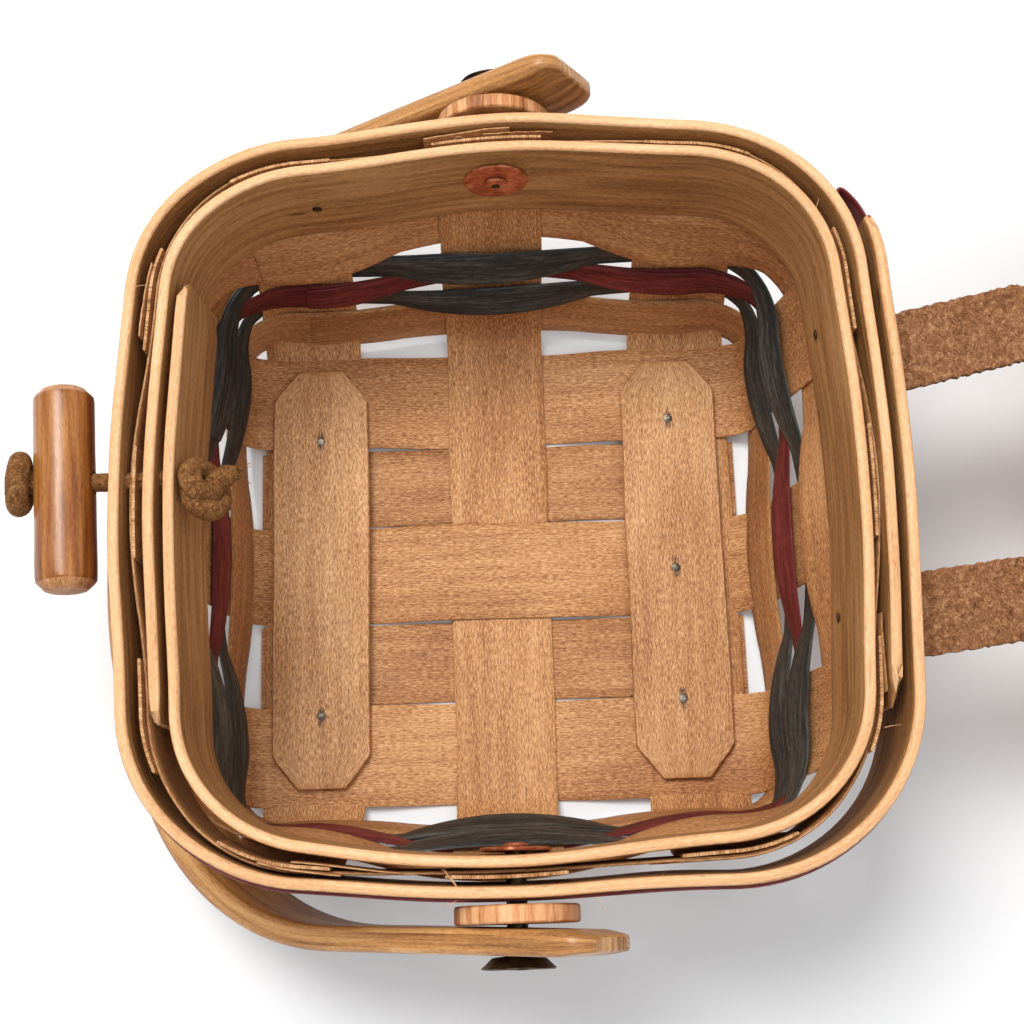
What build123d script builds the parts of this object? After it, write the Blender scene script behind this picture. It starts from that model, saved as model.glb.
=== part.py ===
from build123d import *
import os
from math import sin, cos, tan, asin, radians, pi, sqrt, hypot, atan2

os.makedirs("parts", exist_ok=True)

# ---------------------------------------------------------------- dimensions
# Woven splint picnic basket.  mm, +Z up, origin at the middle of the underside.
# Front (toggle) is -Y, back (hinge straps) is +Y, the bail pivots are on +-X.
H = 95.0                 # height of the rim
BAND_H = 32.0            # height of the rim bands
BAND_T = 2.8             # thickness of the rim bands
ZB = H - BAND_H          # lower edge of the bands
TAPER = 0.07             # inward lean of the bands, mm per mm

# middle surface of the walls: centre, half sizes and corner radius per level
LEVELS = {               # z: (cx, cy, half_x, half_y, corner radius)
    0.0: (0.0, 0.0, 71.3, 72.8, 10.0),
    ZB: (-1.5, 2.0, 90.56, 87.76, 36.0),
    H: (-1.5, 2.0, 92.8, 90.0, 40.0),
}

SPL_T = 1.0              # splint thickness
UP_W = 28.5              # upright width
FB_X = (-52.8, 0.0, 52.8)      # front-to-back uprights
SS_Y = (-54.5, 0.0, 54.5)      # side-to-side uprights
FILL_X = (-26.4, 26.4)         # floor fillers
FILL_W = 23.0
Z_LOW, Z_MID, Z_HIGH = 0.5, 1.65, 2.8   # centre heights of the floor layers
UP_TOP = 92.0            # top of the uprights, between the bands
DIP_IN, DIP_OUT = 9.0, 13.0    # flat and full width of the dip in the middle side-to-side strip

W_T = 0.8                # weaver thickness
W_OFF = 1.15             # weaver centre distance from the wall's middle surface
# (name, z0, z1, outside the middle uprights?)
ROWS = (
    ("weaver_1_natural", 4.4, 21.0, True),
    ("weaver_2_gray", 21.4, 28.2, False),
    ("weaver_3_red", 28.6, 35.2, True),
    ("weaver_4_gray", 35.6, 42.8, False),
    ("weaver_5_natural", 45.4, 62.6, True),
    ("weaver_6_rim", 66.0, 90.0, False),
)

GAP_FRONT, GAP_BACK, GAP_LEFT, GAP_RIGHT = 2.8, 1.65, 2.45, 2.0  # band face from the middle surface
LAP_GAP = 2.1            # air between the two layers of a lapped band

TRIM_H = 9.5
TRIM_T = 0.9
TRIM_Z0 = H - 16.0

SLAT_W, SLAT_L, SLAT_T = 28.0, 124.0, 2.6
SLAT_Z = 3.4
SLAT_CLIP = 9.0

# bail
PIV_Y, PIV_Z, BAIL_CX = 2.0, 80.0, -1.5
BAIL_HALF = 106.7        # centre line of an arm at the pivot
BAIL_T = 6.3
BAIL_W = 24.5
BAIL_TAIL = 25.0
BAIL_TOE = 2.5           # arms lean in, degrees
BAIL_DOWN = 33.0         # how far the bail hangs below level, degrees
BAIL_LS = 48.0           # straight part of an arm
BAIL_RS = 70.0           # shoulder radius
BAIL_D1 = 60.0           # heading where the crown's arc starts
SPACER_D = 29.5
SPACER_OUT = 102.8
SHANK_D = 5.0
HOLE_D = 5.2
HEAD_D = 17.6
HEAD_CONE = 2.3
WASHER_D, WASHER_T = 17.0, 1.0

# toggle
TOG_X, TOG_Z = -6.0, 88.0
PEG_Y, PEG_D, PEG_L = -105.0, 14.8, 51.0
THONG_D = 5.0
THONG_HOLE = 5.4

# straps and lid
STRAP_X = (-35.0, 32.0)
STRAP_W, STRAP_T = 21.0, 2.6
HIN_Y, HIN_Z = 103.6, 73.0
LINK_L = 36.0
LID_Z0 = H + 0.4
LID_FOLD = 202.0         # lid turned back from closed, degrees
LID_BAND_T = 2.8
LID_TOP = 107.6


# ---------------------------------------------------------------- wall shape
def level(z):
    """Centre, half sizes and corner radius of the wall's middle surface."""
    ks = sorted(LEVELS)
    lo, hi = (ks[0], ks[1]) if z <= ks[1] else (ks[1], ks[2])
    f = (z - lo) / (hi - lo)
    return tuple(a + f * (b - a) for a, b in zip(LEVELS[lo], LEVELS[hi]))


def seg_lengths(z):
    cx, cy, bx, ay, r = level(z)
    return (2 * (bx - r), r * pi / 2, 2 * (ay - r), r * pi / 2,
            2 * (bx - r), r * pi / 2, 2 * (ay - r), r * pi / 2)


def around(z, s, off):
    """Plan point s mm along the outline (from the front wall's -X end), off mm out."""
    cx, cy, bx, ay, r = level(z)
    seg = seg_lengths(z)
    total = sum(seg)
    s = s % total
    k = 0
    while s > seg[k] and k < 7:
        s -= seg[k]
        k += 1
    ux, uy = bx - r, ay - r
    if k == 0:
        return (cx - ux + s, cy - ay - off)
    if k == 2:
        return (cx + bx + off, cy - uy + s)
    if k == 4:
        return (cx + ux - s, cy + ay + off)
    if k == 6:
        return (cx - bx - off, cy + uy - s)
    mx, my, a0 = {1: (ux, -uy, -pi / 2), 3: (ux, uy, 0.0),
                  5: (-ux, uy, pi / 2), 7: (-ux, -uy, pi)}[k]
    a = a0 + s / r
    return (cx + mx + (r + off) * cos(a), cy + my + (r + off) * sin(a))


def s_at(z, wall, c):
    """Distance along the outline where wall (0 front, 1 right, 2 back, 3 left) meets x or y = c."""
    cx, cy, bx, ay, r = level(z)
    seg = seg_lengths(z)
    base = (0.0, seg[0] + seg[1], sum(seg[:4]), sum(seg[:6]))[wall]
    u, d = {0: (bx - r, c - cx), 1: (ay - r, c - cy),
            2: (bx - r, -(c - cx)), 3: (ay - r, -(c - cy))}[wall]
    if abs(d) <= u:
        return base + u + d
    e = r * asin(min(1.0, (abs(d) - u) / r))
    return base + 2 * u + e if d > 0 else base - e


def wall_keys(wall):
    """The uprights of one wall, as centre and is-it-a-middle-one flags."""
    cs = FB_X if wall in (0, 2) else SS_Y
    return cs


# ring stations: (wall, coordinate) pairs, corners filled in between
def ring_points(z, off_of):
    """Closed outline at height z, with off_of(station) as the offset."""
    pts = []
    for wall in range(4):
        cs = sorted(wall_keys(wall), reverse=wall in (2, 3))
        sgn = -1 if wall in (2, 3) else 1
        stations = []
        for i, c in enumerate(cs):
            h = UP_W / 2 + 1.2
            n = 1 if i == 1 else 4
            for k in range(-n, n + 1):
                stations.append((c + sgn * h * k / n, i))
        for c, i in stations:
            pts.append((s_at(z, wall, c), off_of(wall, i)))
        # corner to the next wall
        nxt = (wall + 1) % 4
        s0 = s_at(z, wall, stations[-1][0])
        ncs = sorted(wall_keys(nxt), reverse=nxt in (2, 3))
        nsg = -1 if nxt in (2, 3) else 1
        s1 = s_at(z, nxt, ncs[0] - nsg * (UP_W / 2 + 1.2))
        if s1 < s0:
            s1 += sum(seg_lengths(z))
        o0, o1 = off_of(wall, 2), off_of(nxt, 0)
        for k in range(1, 4):
            f = k / 4
            pts.append((s0 + (s1 - s0) * f, o0 + (o1 - o0) * f))
    return pts


def closed_ring(z, off_of, d):
    return [around(z, s, o + d) for s, o in ring_points(z, off_of)]


def extrapolate(p0, p1, f):
    return [(a[0] + (b[0] - a[0]) * f, a[1] + (b[1] - a[1]) * f) for a, b in zip(p0, p1)]


# ---------------------------------------------------------------- floor weave
def under_over(c_list, levels, edge, w):
    """Centre line heights of a floor strip that crosses strips at c_list."""
    pts = [(-edge, levels[0])]
    for i, c in enumerate(c_list):
        pts.append((c - w / 2 - 1.5, levels[i]))
        pts.append((c + w / 2 + 1.5, levels[i]))
    pts.append((edge, levels[-1]))
    out = [pts[0]]
    for p in pts[1:]:
        if p[0] > out[-1][0] + 0.4:
            out.append(p)
    if out[-1][0] < edge:
        out[-1] = (edge, out[-1][1])
    return out


def wall_solid(d):
    """Solid bounded by the wall's middle surface moved d outward."""
    with BuildPart() as w:
        for za, zc in ((0.0, ZB), (ZB, H)):
            for z in (za, zc):
                cx, cy, bx, ay, r = LEVELS[z]
                with BuildSketch(Plane.XY.offset(z)):
                    with Locations((cx, cy)):
                        RectangleRounded(2 * (bx + d), 2 * (ay + d), r + d)
            loft(ruled=True)
    return w.part


shell_out = wall_solid(SPL_T / 2)
shell_in = wall_solid(-SPL_T / 2)

fb_levels = {-52.8: (Z_HIGH, Z_LOW, Z_HIGH), 0.0: (Z_LOW, Z_HIGH, Z_LOW), 52.8: (Z_HIGH, Z_LOW, Z_HIGH)}
cx0, cy0, bx0, ay0, r0 = LEVELS[0.0]

for name, c in zip(("upright_front_back_left", "upright_front_back_middle", "upright_front_back_right"), FB_X):
    lv = fb_levels[c]
    cx, cy, bx, ay, r = level(lv[0])
    line = under_over(SS_Y, lv, ay, UP_W)
    with BuildPart() as legs:
        add(shell_out)
        add(shell_in, mode=Mode.SUBTRACT)
        with BuildSketch(Plane.XZ.offset(-200)):
            with Locations((c, (UP_TOP + lv[0] - SPL_T / 2) / 2)):
                Rectangle(UP_W, UP_TOP - lv[0] + SPL_T / 2)
        extrude(amount=400, mode=Mode.INTERSECT)
    with BuildPart() as upright:
        with BuildSketch(Plane.YZ.offset(c - UP_W / 2)):
            Polygon(*([(q[0], q[1] + SPL_T / 2) for q in line] + [(q[0], q[1] - SPL_T / 2) for q in line[::-1]]), align=None)
        extrude(amount=UP_W)
        with BuildSketch(Plane.XY):
            with Locations((cx, cy)):
                RectangleRounded(2 * bx, 2 * ay, r)
        extrude(amount=10, mode=Mode.INTERSECT)
        add(legs.part)
        if abs(c) < 1:
            with BuildSketch(Plane.XZ.offset(60)):
                with Locations((TOG_X, TOG_Z)):
                    Circle(THONG_HOLE / 2)
            extrude(amount=60, mode=Mode.SUBTRACT)
    upright.part.label = name
    export_step(upright.part, "parts/" + name + ".step")

for name, c in zip(("upright_side_side_front", "upright_side_side_middle", "upright_side_side_back"), SS_Y):
    zl = Z_MID - SPL_T / 2
    cx, cy, bx, ay, r = level(Z_MID)
    with BuildPart() as legs:
        add(shell_out)
        add(shell_in, mode=Mode.SUBTRACT)
        with BuildSketch(Plane.YZ.offset(-200)):
            with Locations((c, (UP_TOP + zl) / 2)):
                Rectangle(UP_W, UP_TOP - zl)
        extrude(amount=400, mode=Mode.INTERSECT)
    # the middle one dips to the ground where it passes under the middle front-back strip
    dip = [(-DIP_OUT, Z_MID), (-DIP_IN, Z_LOW), (DIP_IN, Z_LOW), (DIP_OUT, Z_MID)] if abs(c) < 1 else []
    line = [(-bx, Z_MID)] + dip + [(bx, Z_MID)]
    with BuildPart() as upright:
        with BuildSketch(Plane.XZ.offset(-(c + UP_W / 2))):
            Polygon(*([(q[0], q[1] + SPL_T / 2) for q in line] + [(q[0], q[1] - SPL_T / 2) for q in line[::-1]]), align=None)
        extrude(amount=UP_W)
        with BuildSketch(Plane.XY):
            with Locations((cx, cy)):
                RectangleRounded(2 * bx, 2 * ay, r)
        extrude(amount=10, mode=Mode.INTERSECT)
        add(legs.part)
        if abs(c) < 1:
            with BuildSketch(Plane.YZ.offset(-120)):
                with Locations((PIV_Y, PIV_Z)):
                    Circle(HOLE_D / 2)
            extrude(amount=240, mode=Mode.SUBTRACT)
    upright.part.label = name
    export_step(upright.part, "parts/" + name + ".step")

for name, c in zip(("floor_filler_left", "floor_filler_right"), FILL_X):
    with BuildPart() as filler:
        with BuildSketch(Plane.XY.offset(Z_LOW - SPL_T / 2)):
            with Locations((c, 0)):
                Rectangle(FILL_W, 2 * ay0 - 5.0)
        extrude(amount=SPL_T)
    filler.part.label = name
    export_step(filler.part, "parts/" + name + ".step")

# two slats over the outer side-to-side uprights, corners clipped
brads = {"front": (40.0, -41.5), "back": (44.0, -1.5, -39.5)}
for name, c in zip(("floor_slat_front", "floor_slat_back"), (SS_Y[0] + 2.2, SS_Y[2] - 3.6)):
    with BuildPart() as slat:
        with BuildSketch(Plane.XY.offset(SLAT_Z)):
            with Locations((0.0, c)):
                Rectangle(SLAT_L, SLAT_W)
        extrude(amount=SLAT_T)
        chamfer(slat.edges().filter_by(Axis.Z), length=SLAT_CLIP, length2=SLAT_CLIP * 0.8)
        with BuildSketch(Plane.XY.offset(SLAT_Z - 1)):
            with Locations(*[(-v, c) for v in brads[name.split("_")[2]]]):
                Circle(0.95)
        extrude(amount=SLAT_T + 2, mode=Mode.SUBTRACT)
    slat.part.label = name
    export_step(slat.part, "parts/" + name + ".step")
    for i, v in enumerate(brads[name.split("_")[2]]):
        bn = "floor_brad_" + name.split("_")[2] + "_" + str(i + 1)
        with BuildPart() as brad:
            with Locations((-v, c, SLAT_Z + SLAT_T)):
                Cylinder(1.6, 0.5, align=(Align.CENTER, Align.CENTER, Align.MIN))
            with Locations((-v, c, SLAT_Z + 0.1)):
                Cylinder(0.85, SLAT_T - 0.1, align=(Align.CENTER, Align.CENTER, Align.MIN))
        brad.part.label = bn
        export_step(brad.part, "parts/" + bn + ".step")

# ---------------------------------------------------------------- weavers
for name, za, zc, outside in ROWS:
    sign = 1.0 if outside else -1.0

    # the middle upright is at index 1 on the front and back walls' other phase:
    # left and right walls: middle outside; front and back walls: outer two outside
    def row_off(wall, i, sign=sign):
        mid = i == 1
        if wall in (1, 3):
            return W_OFF * sign * (1 if mid else -1)
        return W_OFF * sign * (-1 if mid else 1)

    oa, oc = closed_ring(za, row_off, W_T / 2), closed_ring(zc, row_off, W_T / 2)
    ia, ic = closed_ring(za, row_off, -W_T / 2), closed_ring(zc, row_off, -W_T / 2)
    ext = 1.0 / (zc - za)
    with BuildPart() as weaver:
        with BuildSketch(Plane.XY.offset(za)):
            Polygon(*oa, align=None)
        with BuildSketch(Plane.XY.offset(zc)):
            Polygon(*oc, align=None)
        loft(ruled=True)
        with BuildSketch(Plane.XY.offset(za - 1.0)):
            Polygon(*extrapolate(ia, ic, -ext), align=None)
        with BuildSketch(Plane.XY.offset(zc + 1.0)):
            Polygon(*extrapolate(ia, ic, 1 + ext), align=None)
        loft(ruled=True, mode=Mode.SUBTRACT)
        if name == "weaver_6_rim":
            with BuildSketch(Plane.YZ.offset(-120)):
                with Locations((PIV_Y, PIV_Z)):
                    Circle(HOLE_D / 2)
            extrude(amount=240, mode=Mode.SUBTRACT)
            with BuildSketch(Plane.XZ.offset(60)):
                with Locations((TOG_X, TOG_Z)):
                    Circle(THONG_HOLE / 2)
            extrude(amount=60, mode=Mode.SUBTRACT)
    weaver.part.label = name
    export_step(weaver.part, "parts/" + name + ".step")


# ---------------------------------------------------------------- rim bands
def gap_at(z, s):
    """Distance from the middle surface to the facing band, which differs by wall."""
    x, y = around(z, s, 0)
    cx, cy, bx, ay, r = level(z)
    a = atan2((y - cy) / ay, (x - cx) / bx)
    wx, wy = cos(a) ** 2, sin(a) ** 2
    gx = GAP_RIGHT if cos(a) > 0 else GAP_LEFT
    gy = GAP_BACK if sin(a) > 0 else GAP_FRONT
    return wx * gx + wy * gy


def walk(z, start, stop, step=9.0):
    """Even stations along the outline from start to stop, both (wall, coordinate, turns)."""
    total = sum(seg_lengths(z))
    s0 = s_at(z, start[0], start[1]) + total * start[2]
    s1 = s_at(z, stop[0], stop[1]) + total * stop[2]
    n = 72
    return [s0 + (s1 - s0) * k / n for k in range(n + 1)]


def smooth(f):
    f = max(0.0, min(1.0, f))
    return f * f * (3 - 2 * f)


def strip(z, stations, off_of, t):
    n = len(stations)
    a = [around(z, s, off_of(z, s, k / (n - 1)) + t / 2) for k, s in enumerate(stations)]
    b = [around(z, s, off_of(z, s, k / (n - 1)) - t / 2) for k, s in enumerate(stations)]
    return a + b[::-1]


# inner band: starts inside the front wall at x = -58, goes once round and ends outside it at x = +55
def inner_off(z, s, f):
    lap = smooth((f - 0.13) / 0.13)       # 0 on the inner layer, 1 once it has moved out
    g = gap_at(z, s)
    out = -(g + BAND_T / 2)
    return out - (1 - lap) * (BAND_T + LAP_GAP)


# outer band: starts outside the back wall at x = -66, goes once round and ends inside it at x = +55
def outer_off(z, s, f):
    lap = smooth((f - 0.17) / 0.13)       # 1 on the inner layer side
    return gap_at(z, s) + BAND_T / 2 + (1 - lap) * (BAND_T + LAP_GAP)


with BuildPart() as band_inner:
    for z in (ZB, H):
        with BuildSketch(Plane.XY.offset(z)):
            Polygon(*strip(z, walk(z, (0, -58.0, 0), (0, 55.0, 1)), inner_off, BAND_T), align=None)
    loft(ruled=True)
    with BuildSketch(Plane.YZ.offset(-120)):
        with Locations((PIV_Y, PIV_Z)):
            Circle(HOLE_D / 2)
    extrude(amount=240, mode=Mode.SUBTRACT)
    with BuildSketch(Plane.XZ.offset(60)):
        with Locations((TOG_X, TOG_Z)):
            Circle(THONG_HOLE / 2)
    extrude(amount=60, mode=Mode.SUBTRACT)
band_inner.part.label = "rim_band_inner"
export_step(band_inner.part, "parts/rim_band_inner.step")

# back wall runs toward -X, so the band is walked backward from x = -66
with BuildPart() as band_outer:
    for z in (ZB, H):
        total = sum(seg_lengths(z))
        sa = s_at(z, 2, -66.0) + total
        sb = s_at(z, 2, 55.0)
        st = [sa + (sb - sa) * k / 72 for k in range(73)]
        with BuildSketch(Plane.XY.offset(z)):
            Polygon(*strip(z, st, outer_off, BAND_T), align=None)
    loft(ruled=True)
    with BuildSketch(Plane.YZ.offset(-120)):
        with Locations((PIV_Y, PIV_Z)):
            Circle(HOLE_D / 2)
    extrude(amount=240, mode=Mode.SUBTRACT)
    with BuildSketch(Plane.XZ.offset(60)):
        with Locations((TOG_X, TOG_Z)):
            Circle(THONG_HOLE / 2)
    extrude(amount=60, mode=Mode.SUBTRACT)
band_outer.part.label = "rim_band_outer"
export_step(band_outer.part, "parts/rim_band_outer.step")

# coloured trim strip on the outer band, tucked between its two layers on the back wall
TRIM_FACE = BAND_T / 2 + TRIM_T / 2 + 0.12


def trim_off(z, s, f):
    return outer_off(z, s, f) + TRIM_FACE


with BuildPart() as trim:
    for z in (TRIM_Z0, TRIM_Z0 + TRIM_H):
        total = sum(seg_lengths(z))
        # the band's own stations, so that the strip lies on its face
        ba, bb = s_at(z, 2, -66.0) + total, s_at(z, 2, 55.0)
        ks = range(1, 67)
        st = [ba + (bb - ba) * k / 72 for k in ks]
        a = [around(z, s, trim_off(z, s, k / 72) + TRIM_T / 2) for s, k in zip(st, ks)]
        b = [around(z, s, trim_off(z, s, k / 72) - TRIM_T / 2) for s, k in zip(st, ks)]
        with BuildSketch(Plane.XY.offset(z)):
            Polygon(*(a + b[::-1]), align=None)
    loft(ruled=True)
    with BuildSketch(Plane.YZ.offset(-120)):
        with Locations((PIV_Y, PIV_Z)):
            Circle(HOLE_D / 2)
    extrude(amount=240, mode=Mode.SUBTRACT)
    with BuildSketch(Plane.XZ.offset(60)):
        with Locations((TOG_X, TOG_Z)):
            Circle(THONG_HOLE / 2)
    extrude(amount=60, mode=Mode.SUBTRACT)
trim.part.label = "rim_trim_strip"
export_step(trim.part, "parts/rim_trim_strip.step")


def wall_frame(z, s, off):
    """Plane on the wall at s, its normal pointing outward and level."""
    p = around(z, s, off)
    q = around(z, s, off + 1.0)
    n = Vector(q[0] - p[0], q[1] - p[1], 0)
    return Plane(origin=(p[0], p[1], z), x_dir=(-n.Y, n.X, 0), z_dir=n)


# tacks driven into the inner band, head on its inner face
for name, wall, c, z in (("rim_tack_back_left", 2, -44.0, 74.0), ("rim_tack_back_right", 2, 30.0, 72.0),
                         ("rim_tack_left", 3, -46.0, 77.0)):
    s = s_at(z, wall, c)
    total = sum(seg_lengths(z))
    f = ((s + (total if wall == 0 else 0)) - s_at(z, 0, -58.0)) / (s_at(z, 0, 55.0) + total - s_at(z, 0, -58.0))
    face = inner_off(z, s, f) - BAND_T / 2
    with BuildPart() as tack:
        with BuildSketch(wall_frame(z, s, face - 0.75)):
            Circle(1.5)
        extrude(amount=0.45)
        with BuildSketch(wall_frame(z, s, face - 0.5)):
            Circle(0.6)
        extrude(amount=0.2)
    tack.part.label = name
    export_step(tack.part, "parts/" + name + ".step")

# ---------------------------------------------------------------- bail and its rivets
dn = radians(BAIL_DOWN)
bail_plane = Plane(origin=(BAIL_CX, PIV_Y, PIV_Z), x_dir=(1, 0, 0), z_dir=(0, -sin(dn), cos(dn)))


def bail_line(side):
    """Centre line of the bail moved side mm out, tail to crown, in its own plane."""
    d0, d1 = radians(BAIL_TOE), radians(BAIL_D1)
    pts = [(BAIL_HALF + BAIL_TAIL * tan(d0) + side * cos(d0), BAIL_TAIL + side * sin(d0))]
    xs = BAIL_HALF - BAIL_LS * tan(d0)
    csx, csy = xs - BAIL_RS * cos(d0), BAIL_LS - BAIL_RS * sin(d0)
    rc = BAIL_RS + csx / cos(d1)
    lc = csy + BAIL_RS * sin(d1) - rc * sin(d1)
    start = (csx + (BAIL_RS + side) * cos(d0), -(csy + (BAIL_RS + side) * sin(d0)))
    dm = (d0 + d1) / 2
    mid = (csx + (BAIL_RS + side) * cos(dm), -(csy + (BAIL_RS + side) * sin(dm)))
    end = (csx + (BAIL_RS + side) * cos(d1), -(csy + (BAIL_RS + side) * sin(d1)))
    crown = (0.0, -(lc + rc + side))
    return pts[0], start, mid, end, crown


def mx(p):
    return (-p[0], p[1])


with BuildPart() as bail:
    with BuildSketch(bail_plane.offset(-BAIL_W / 2)):
        with BuildLine():
            t, a, m, e, c = bail_line(BAIL_T / 2)
            Line(t, a)
            ThreePointArc(a, m, e)
            ThreePointArc(e, c, mx(e))
            ThreePointArc(mx(e), mx(m), mx(a))
            Line(mx(a), mx(t))
            t2, a2, m2, e2, c2 = bail_line(-BAIL_T / 2)
            Line(mx(t), mx(t2))
            Line(mx(t2), mx(a2))
            ThreePointArc(mx(a2), mx(m2), mx(e2))
            ThreePointArc(mx(e2), c2, e2)
            ThreePointArc(e2, m2, a2)
            Line(a2, t2)
            Line(t2, t)
        make_face()
    extrude(amount=BAIL_W)
    # round the two ends
    ends = bail.edges().filter_by(lambda e: abs(e.length - BAIL_T) < 0.4 and bail_plane.to_local_coords(e.center()).Y > BAIL_TAIL - 1.5)
    fillet(ends, radius=5.5)
    with BuildSketch(Plane.YZ.offset(-140)):
        with Locations((PIV_Y, PIV_Z)):
            Circle(HOLE_D / 2 - 0.05)
    extrude(amount=280, mode=Mode.SUBTRACT)
bail.part.label = "bail_handle"
export_step(bail.part, "parts/bail_handle.step")

for side, sx in (("left", -1), ("right", 1)):
    # outer face of the outer band at the rim, where the spacer stands
    cx, cy, bx, ay, r = LEVELS[H]
    g = GAP_LEFT if sx < 0 else GAP_RIGHT
    x_in = (cx + sx * (bx + g + BAND_T + 0.8)) - BAIL_CX
    x_out = sx * SPACER_OUT
    with BuildPart() as spacer:
        with BuildSketch(Plane.YZ.offset(BAIL_CX + x_in + sx * 0.08)):
            with Locations((PIV_Y, PIV_Z)):
                Circle(SPACER_D / 2)
                Circle(HOLE_D / 2, mode=Mode.SUBTRACT)
        extrude(amount=sx * (abs(x_out) - abs(x_in) - 0.08))
        chamfer(spacer.edges().filter_by(GeomType.CIRCLE).sort_by(SortBy.RADIUS)[-2:], length=0.5)
    spacer.part.label = "bail_spacer_" + side
    export_step(spacer.part, "parts/bail_spacer_" + side + ".step")

    # inner face of the inner band at the pivot's height
    cxp, cyp, bxp, ayp, rp = level(PIV_Z)
    face_in = cxp + sx * (bxp - g - BAND_T)
    tilt_in = sx * 1.2                     # the band leans, the washer stands square
    w_out = face_in - tilt_in * 0.55       # washer face toward the band
    with BuildPart() as washer:
        with BuildSketch(Plane.YZ.offset(w_out)):
            with Locations((PIV_Y, PIV_Z)):
                Circle(WASHER_D / 2)
                Circle(SHANK_D / 2 + 0.05, mode=Mode.SUBTRACT)
        extrude(amount=-sx * WASHER_T)
        chamfer(washer.edges().filter_by(GeomType.CIRCLE).sort_by(SortBy.RADIUS)[-2:], length=0.2)
    washer.part.label = "rivet_washer_" + side
    export_step(washer.part, "parts/rivet_washer_" + side + ".step")

    x_head = BAIL_CX + sx * (BAIL_HALF + BAIL_T / 2 + 0.45)
    x_peen = w_out - sx * (WASHER_T + 0.02)
    with BuildPart() as rivet:
        with BuildSketch(Plane.YZ.offset(x_peen)):
            with Locations((PIV_Y, PIV_Z)):
                Circle(SHANK_D / 2)
        extrude(amount=x_head - x_peen)
        # the head is wide and flat outside and narrows toward the bail
        with BuildSketch(Plane.YZ.offset(x_head + sx * HEAD_CONE)):
            with Locations((PIV_Y, PIV_Z)):
                Circle(HEAD_D / 2)
        extrude(amount=-sx * HEAD_CONE, taper=48)
        with BuildSketch(Plane.YZ.offset(x_head + sx * HEAD_CONE)):
            with Locations((PIV_Y, PIV_Z)):
                Circle(HEAD_D / 2)
        extrude(amount=sx * 0.5, taper=20)
        with BuildSketch(Plane.YZ.offset(x_peen)):
            with Locations((PIV_Y, PIV_Z)):
                Circle(SHANK_D / 2 + 0.7)
        extrude(amount=-sx * 1.1, taper=40)
    rivet.part.label = "bail_rivet_" + side
    export_step(rivet.part, "parts/bail_rivet_" + side + ".step")

# ---------------------------------------------------------------- toggle
with BuildPart() as peg:
    with BuildSketch(Plane.YZ.offset(TOG_X - PEG_L / 2)):
        with Locations((PEG_Y, TOG_Z)):
            Circle(PEG_D / 2)
    extrude(amount=PEG_L)
    chamfer(peg.edges().filter_by(GeomType.CIRCLE), length=2.4, length2=2.0)
    with BuildSketch(Plane.XZ.offset(60)):
        with Locations((TOG_X, TOG_Z)):
            Circle(THONG_HOLE / 2)
    extrude(amount=90, mode=Mode.SUBTRACT)
peg.part.label = "toggle_peg"
export_step(peg.part, "parts/toggle_peg.step")

# thong held by a knot inside the front wall and a knot outside the peg
cxt, cyt, bxt, ayt, rt = level(TOG_Z)
in_face = cyt - ayt + GAP_FRONT + 2 * BAND_T + LAP_GAP    # inner face of the inner layer
KNOT_OUT = PEG_Y - PEG_D / 2 - 0.2
with BuildPart() as thong:
    with BuildSketch(Plane.XZ.offset(-(in_face + 6.0))):
        with Locations((TOG_X, TOG_Z)):
            Circle(THONG_D / 2)
    extrude(amount=(in_face + 6.0) - (KNOT_OUT - 2.5))
    with BuildSketch(Plane.XZ.offset(-(in_face + 0.5))):
        with Locations((TOG_X, TOG_Z)):
            Circle(6.0)
    extrude(amount=-5.0, taper=-25)
    with BuildSketch(Plane.XZ.offset(-(in_face + 5.5))):
        with Locations((TOG_X, TOG_Z)):
            Circle(8.2)
    extrude(amount=-5.5, taper=35)
    with BuildSketch(Plane.XZ.offset(-KNOT_OUT)):
        with Locations((TOG_X, TOG_Z)):
            Circle(5.2)
    extrude(amount=2.8, taper=-25)
    with BuildSketch(Plane.XZ.offset(-(KNOT_OUT - 2.8))):
        with Locations((TOG_X, TOG_Z)):
            Circle(6.5)
    extrude(amount=2.8, taper=45)
thong.part.label = "toggle_thong"
export_step(thong.part, "parts/toggle_thong.step")

# ---------------------------------------------------------------- hinge straps
down = radians(LID_FOLD)                 # closed lid turned back about the strap's far end
lid_axis_closed = (HIN_Y, HIN_Z + LINK_L)
lid_axis_rest = (HIN_Y + LINK_L, HIN_Z)
cxh, cyh, bxh, ayh, rh = level(HIN_Z)
back_face = cyh + ayh + GAP_BACK + 2 * BAND_T + LAP_GAP
back_face_low = back_face - TAPER * (HIN_Z - ZB)

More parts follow.
